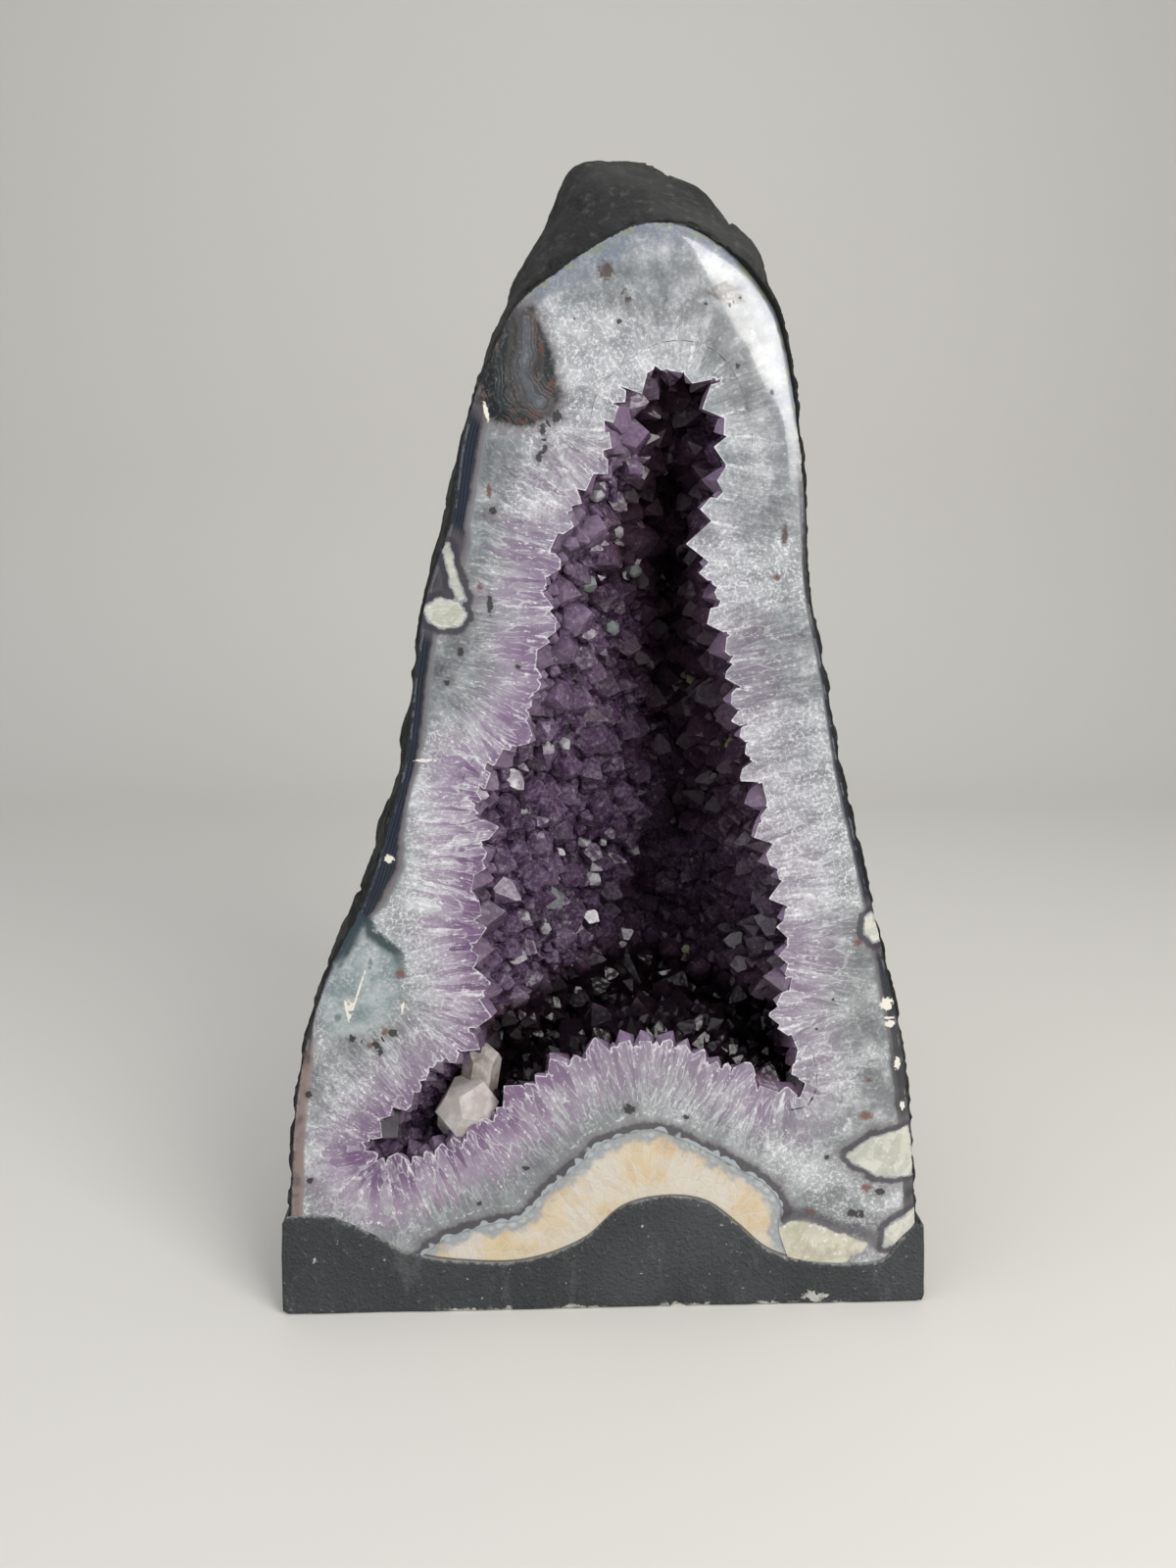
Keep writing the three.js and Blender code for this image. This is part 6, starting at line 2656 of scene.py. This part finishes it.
@dataclass
class CementBase:
    """The cast cement base."""

    form: RockForm
    finish: CementFinish = field(default_factory=CementFinish)
    proud: float = 2.0
    lip_round: float = 1.8
    foot_round: float = 1.2
    chip_at: Pair = (104.0, 4.4)
    chip_size: Pair = (5.0, 1.8)
    front_count: int = 190
    side_count: int = 110
    back_count: int = 110
    rows: int = 26
    plan_heights: Triple = (0.0, 30.0, 60.0)
    side_share: float = 0.16
    start_height: float = 20.0
    foot_chip: float = 2.4
    foot_band: float = 7.0
    worn_band: float = 6.0
    lip_band: float = 2.4
    front_band: Pair = (6.0, 1.0)

    def plan(self, z: Array) -> Array:
        """The base's outline seen from above, at a height for each of its points.

        Args:
            z: Heights, one for each point of the outline.

        Returns:
            The x and y of the points, anticlockwise from the front left corner.
        """
        depths = np.linspace(0.0, 1.0, self.side_count)
        shares = np.linspace(0.0, self.side_share, 60)
        heights = np.array(self.plan_heights)
        left, right = [], []
        for t in depths:
            for side, places in ((left, shares), (right, 1.0 - shares)):
                ring = self.form.ring(float(t), -self.proud, places)
                side.append(np.interp(heights, ring[:, 2], ring[:, 0]))
        f, s, b = self.front_count, self.side_count, self.back_count
        outline = np.empty((len(z), 2))
        for i, height in enumerate(z):
            front_y = float(self.form.face_y(height)) - self.proud
            back_y = self.form.back_y + self.proud
            if i < f:
                ends = [np.interp(height, heights, side[0]) for side in (left, right)]
                outline[i] = lerp(ends[0], ends[1], i / f), front_y
            elif i < f + s:
                k = i - f
                outline[i] = np.interp(height, heights, right[k]), lerp(front_y, back_y, k / s)
            elif i < f + s + b:
                k = i - f - s
                ends = [np.interp(height, heights, side[-1]) for side in (right, left)]
                outline[i] = lerp(ends[0], ends[1], k / b), back_y
            else:
                k = self.side_count - 1 - (i - f - s - b)
                outline[i] = np.interp(height, heights, left[k]), lerp(front_y, back_y, (k + 1) / s)
        return outline

    def build(self) -> Piece:
        """Builds the base.

        Returns:
            The piece.
        """
        count = self.front_count + self.side_count * 2 + self.back_count
        start = self.plan(np.full(count, self.start_height))
        tops = self.form.cement_top(start[:, 0], start[:, 1])
        rows = []
        for share in np.concatenate([[0.0, 0.02, 0.05], np.linspace(0.1, 1.0, self.rows - 3)]):
            z = tops * share
            flat = self.plan(z)
            around = np.roll(flat, -1, axis=0) - np.roll(flat, 1, axis=0)
            out = unit(np.stack([around[:, 1], -around[:, 0]], axis=1))
            points = np.column_stack([flat, z])
            lip = self.lip_round * np.clip(1.0 - (tops - z) / self.lip_round, 0.0, 1.0) ** 2
            foot = self.foot_round * np.clip(1.0 - z / self.foot_round, 0.0, 1.0) ** 2
            chips = smoothstep(soft_noise(points, 9.0, 13, 3), 0.5, 1.1)
            chips = self.foot_chip * chips * np.clip(1.0 - z / self.foot_band, 0.0, 1.0)
            rough = 0.3 + 0.3 * soft_noise(points, 22.0, 5, 3)
            points[:, :2] -= out * (lip + foot + chips + np.maximum(0.0, rough))[:, None]
            rows.append(points)
        grid = np.stack(rows)
        corners, triangles = fill_flat([rows[-1][:, :2]], 5.0, 2.0)
        top = np.column_stack([corners, self.form.cement_top(corners[:, 0], corners[:, 1])])
        top[:, 2] += 0.3 * soft_noise(top, 12.0, 9, 2) - 0.3
        top[:count] = rows[-1]
        under, under_triangles = fill_flat([rows[0][:, :2]], 14.0, 6.0)
        under = np.column_stack([under, np.zeros(len(under))])
        first_top = len(rows) * count
        first_under = first_top + len(top)
        faces = grid_faces(len(rows), count, True)
        faces += [tuple(first_top + k for k in t) for t in triangles]
        faces += [tuple(first_under + k for k in t[::-1]) for t in under_triangles]
        piece = new_object("cement_base_cast", np.vstack([grid.reshape(-1, 3), top, under]), faces)
        with edited(piece) as work:
            bmesh.ops.remove_doubles(work, verts=work.verts[:], dist=2e-6)
            bmesh.ops.recalc_face_normals(work, faces=work.faces[:])
        x, y, z = corners_of(piece).T
        gap = np.abs(self.form.cement_top(x, y) - z)
        front = smoothstep(y - self.form.face_y(z), *self.front_band)
        set_values(piece, "worn", np.clip(1.0 - z / self.worn_band, 0.0, 1.0))
        set_values(piece, "lip", np.clip(1.0 - gap / self.lip_band, 0.0, 1.0) * (0.4 + 0.6 * front))
        wide, tall = self.chip_size
        away = np.hypot((x - self.chip_at[0]) / wide, (z - self.chip_at[1]) / tall)
        set_values(piece, "chip", np.clip(1.0 - away / 2.0, 0.0, 1.0) * front)
        piece.data.materials.append(self.finish.material())
        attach(piece, "root")
        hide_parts("cement_base")
        return piece


# The studio


@dataclass
class Studio:
    """Floor, backdrop, soft lights and the camera at the photograph's viewing angle."""

    camera_place: Triple = (-27.0, -653.0, 385.0)
    camera_yaw: float = math.radians(1.9)
    camera_pitch: float = math.radians(-12.1)
    focal_length: float = 27.45
    air_tint: Triple = (0.86, 0.9, 0.95)
    air_strength: float = 0.36
    finish: StudioFinish = field(default_factory=StudioFinish)

    def backdrop(self) -> Piece:
        """Builds the floor, which curves up into the backdrop.

        Returns:
            The floor.
        """
        half_width, front, back, height, bend = 3000.0, -2600.0, 1500.0, 2600.0, 500.0
        profile = [(front, 0.0), (back - bend, 0.0)]
        for angle in np.linspace(0.1, 1.0, 14) * math.pi / 2.0:
            profile.append((back - bend + bend * math.sin(angle), bend - bend * math.cos(angle)))
        profile.append((back, height))
        line = np.array(profile)
        across = np.linspace(-half_width, half_width, 9)
        grid = np.array([[(x, y, z) for x in across] for y, z in line])
        piece = new_object("studio_floor", grid.reshape(-1, 3), grid_faces(len(line), len(across)))
        piece.data.materials.append(self.finish.material())
        return piece

    def lamp(
        self,
        name: str,
        place: Triple,
        target: Triple,
        size: Pair,
        power: float,
        tint: Triple,
    ) -> None:
        """Hangs a soft lamp.

        Args:
            name: The lamp's name.
            place: Where it hangs.
            target: What it faces.
            size: Its width and height.
            power: Its strength in watts.
            tint: Its colour.
        """
        light = bpy.data.lights.new(name, "AREA")
        light.shape = "RECTANGLE"
        light.size, light.size_y = size[0] * METRES, size[1] * METRES
        light.energy, light.color = power, tint
        made = bpy.data.objects.new(name, light)
        made.location = Vector(place) * METRES
        made.rotation_euler = (Vector(target) - Vector(place)).to_track_quat("-Z", "Y").to_euler()
        bpy.context.scene.collection.objects.link(made)

    def build(self) -> None:
        """Sets up floor, lamps, world and camera."""
        self.backdrop()
        self.lamp("key_window", (800, -1150, 1050), (30, -60, 330), (850, 650), 18.0, (1.0, 0.98, 0.95))
        self.lamp("fill_left", (-1500, -900, 900), (0, 0, 250), (1400, 1400), 6.0, (0.95, 0.97, 1.0))
        self.lamp("top_soft", (0, -200, 1900), (0, 0, 200), (1600, 1600), 13.0, (1.0, 1.0, 1.0))
        world = bpy.data.worlds.new("studio_air")
        world.use_nodes = True
        background = world.node_tree.nodes["Background"]
        background.inputs["Color"].default_value = (*self.air_tint, 1.0)
        background.inputs["Strength"].default_value = self.air_strength
        scene = bpy.context.scene
        scene.world = world
        scene.view_settings.view_transform = "Standard"
        scene.cycles.sample_clamp_indirect = 6.0
        scene.cycles.max_bounces = 10
        scene.cycles.transmission_bounces = 8
        view = bpy.data.cameras.new("photo_view")
        view.sensor_width, view.lens = 36.0, self.focal_length
        made = bpy.data.objects.new("photo_view", view)
        made.location = Vector(self.camera_place) * METRES
        made.rotation_euler = (math.pi / 2.0 + self.camera_pitch, 0.0, -self.camera_yaw)
        scene.collection.objects.link(made)
        scene.camera = made


def main() -> None:
    """Builds the geode round its frame, piece by piece."""
    logging.basicConfig(level=logging.INFO, format="%(name)s: %(message)s")
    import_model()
    form = RockForm()
    hollow = Hollow(form)
    face_map = FaceMap(form, hollow)
    assemblies = (
        CementBase(form),
        Rind(form),
        QuartzWall(form, hollow, face_map),
        CalciteSeam(form),
        CalciteCluster(),
        AmethystCrust(form, hollow, face_map),
    )
    for assembly in assemblies:
        piece = assembly.build()
        log.info("%s: %d faces", piece.name, len(piece.data.polygons))
    Studio().build()


if __name__ == "__main__":
    main()
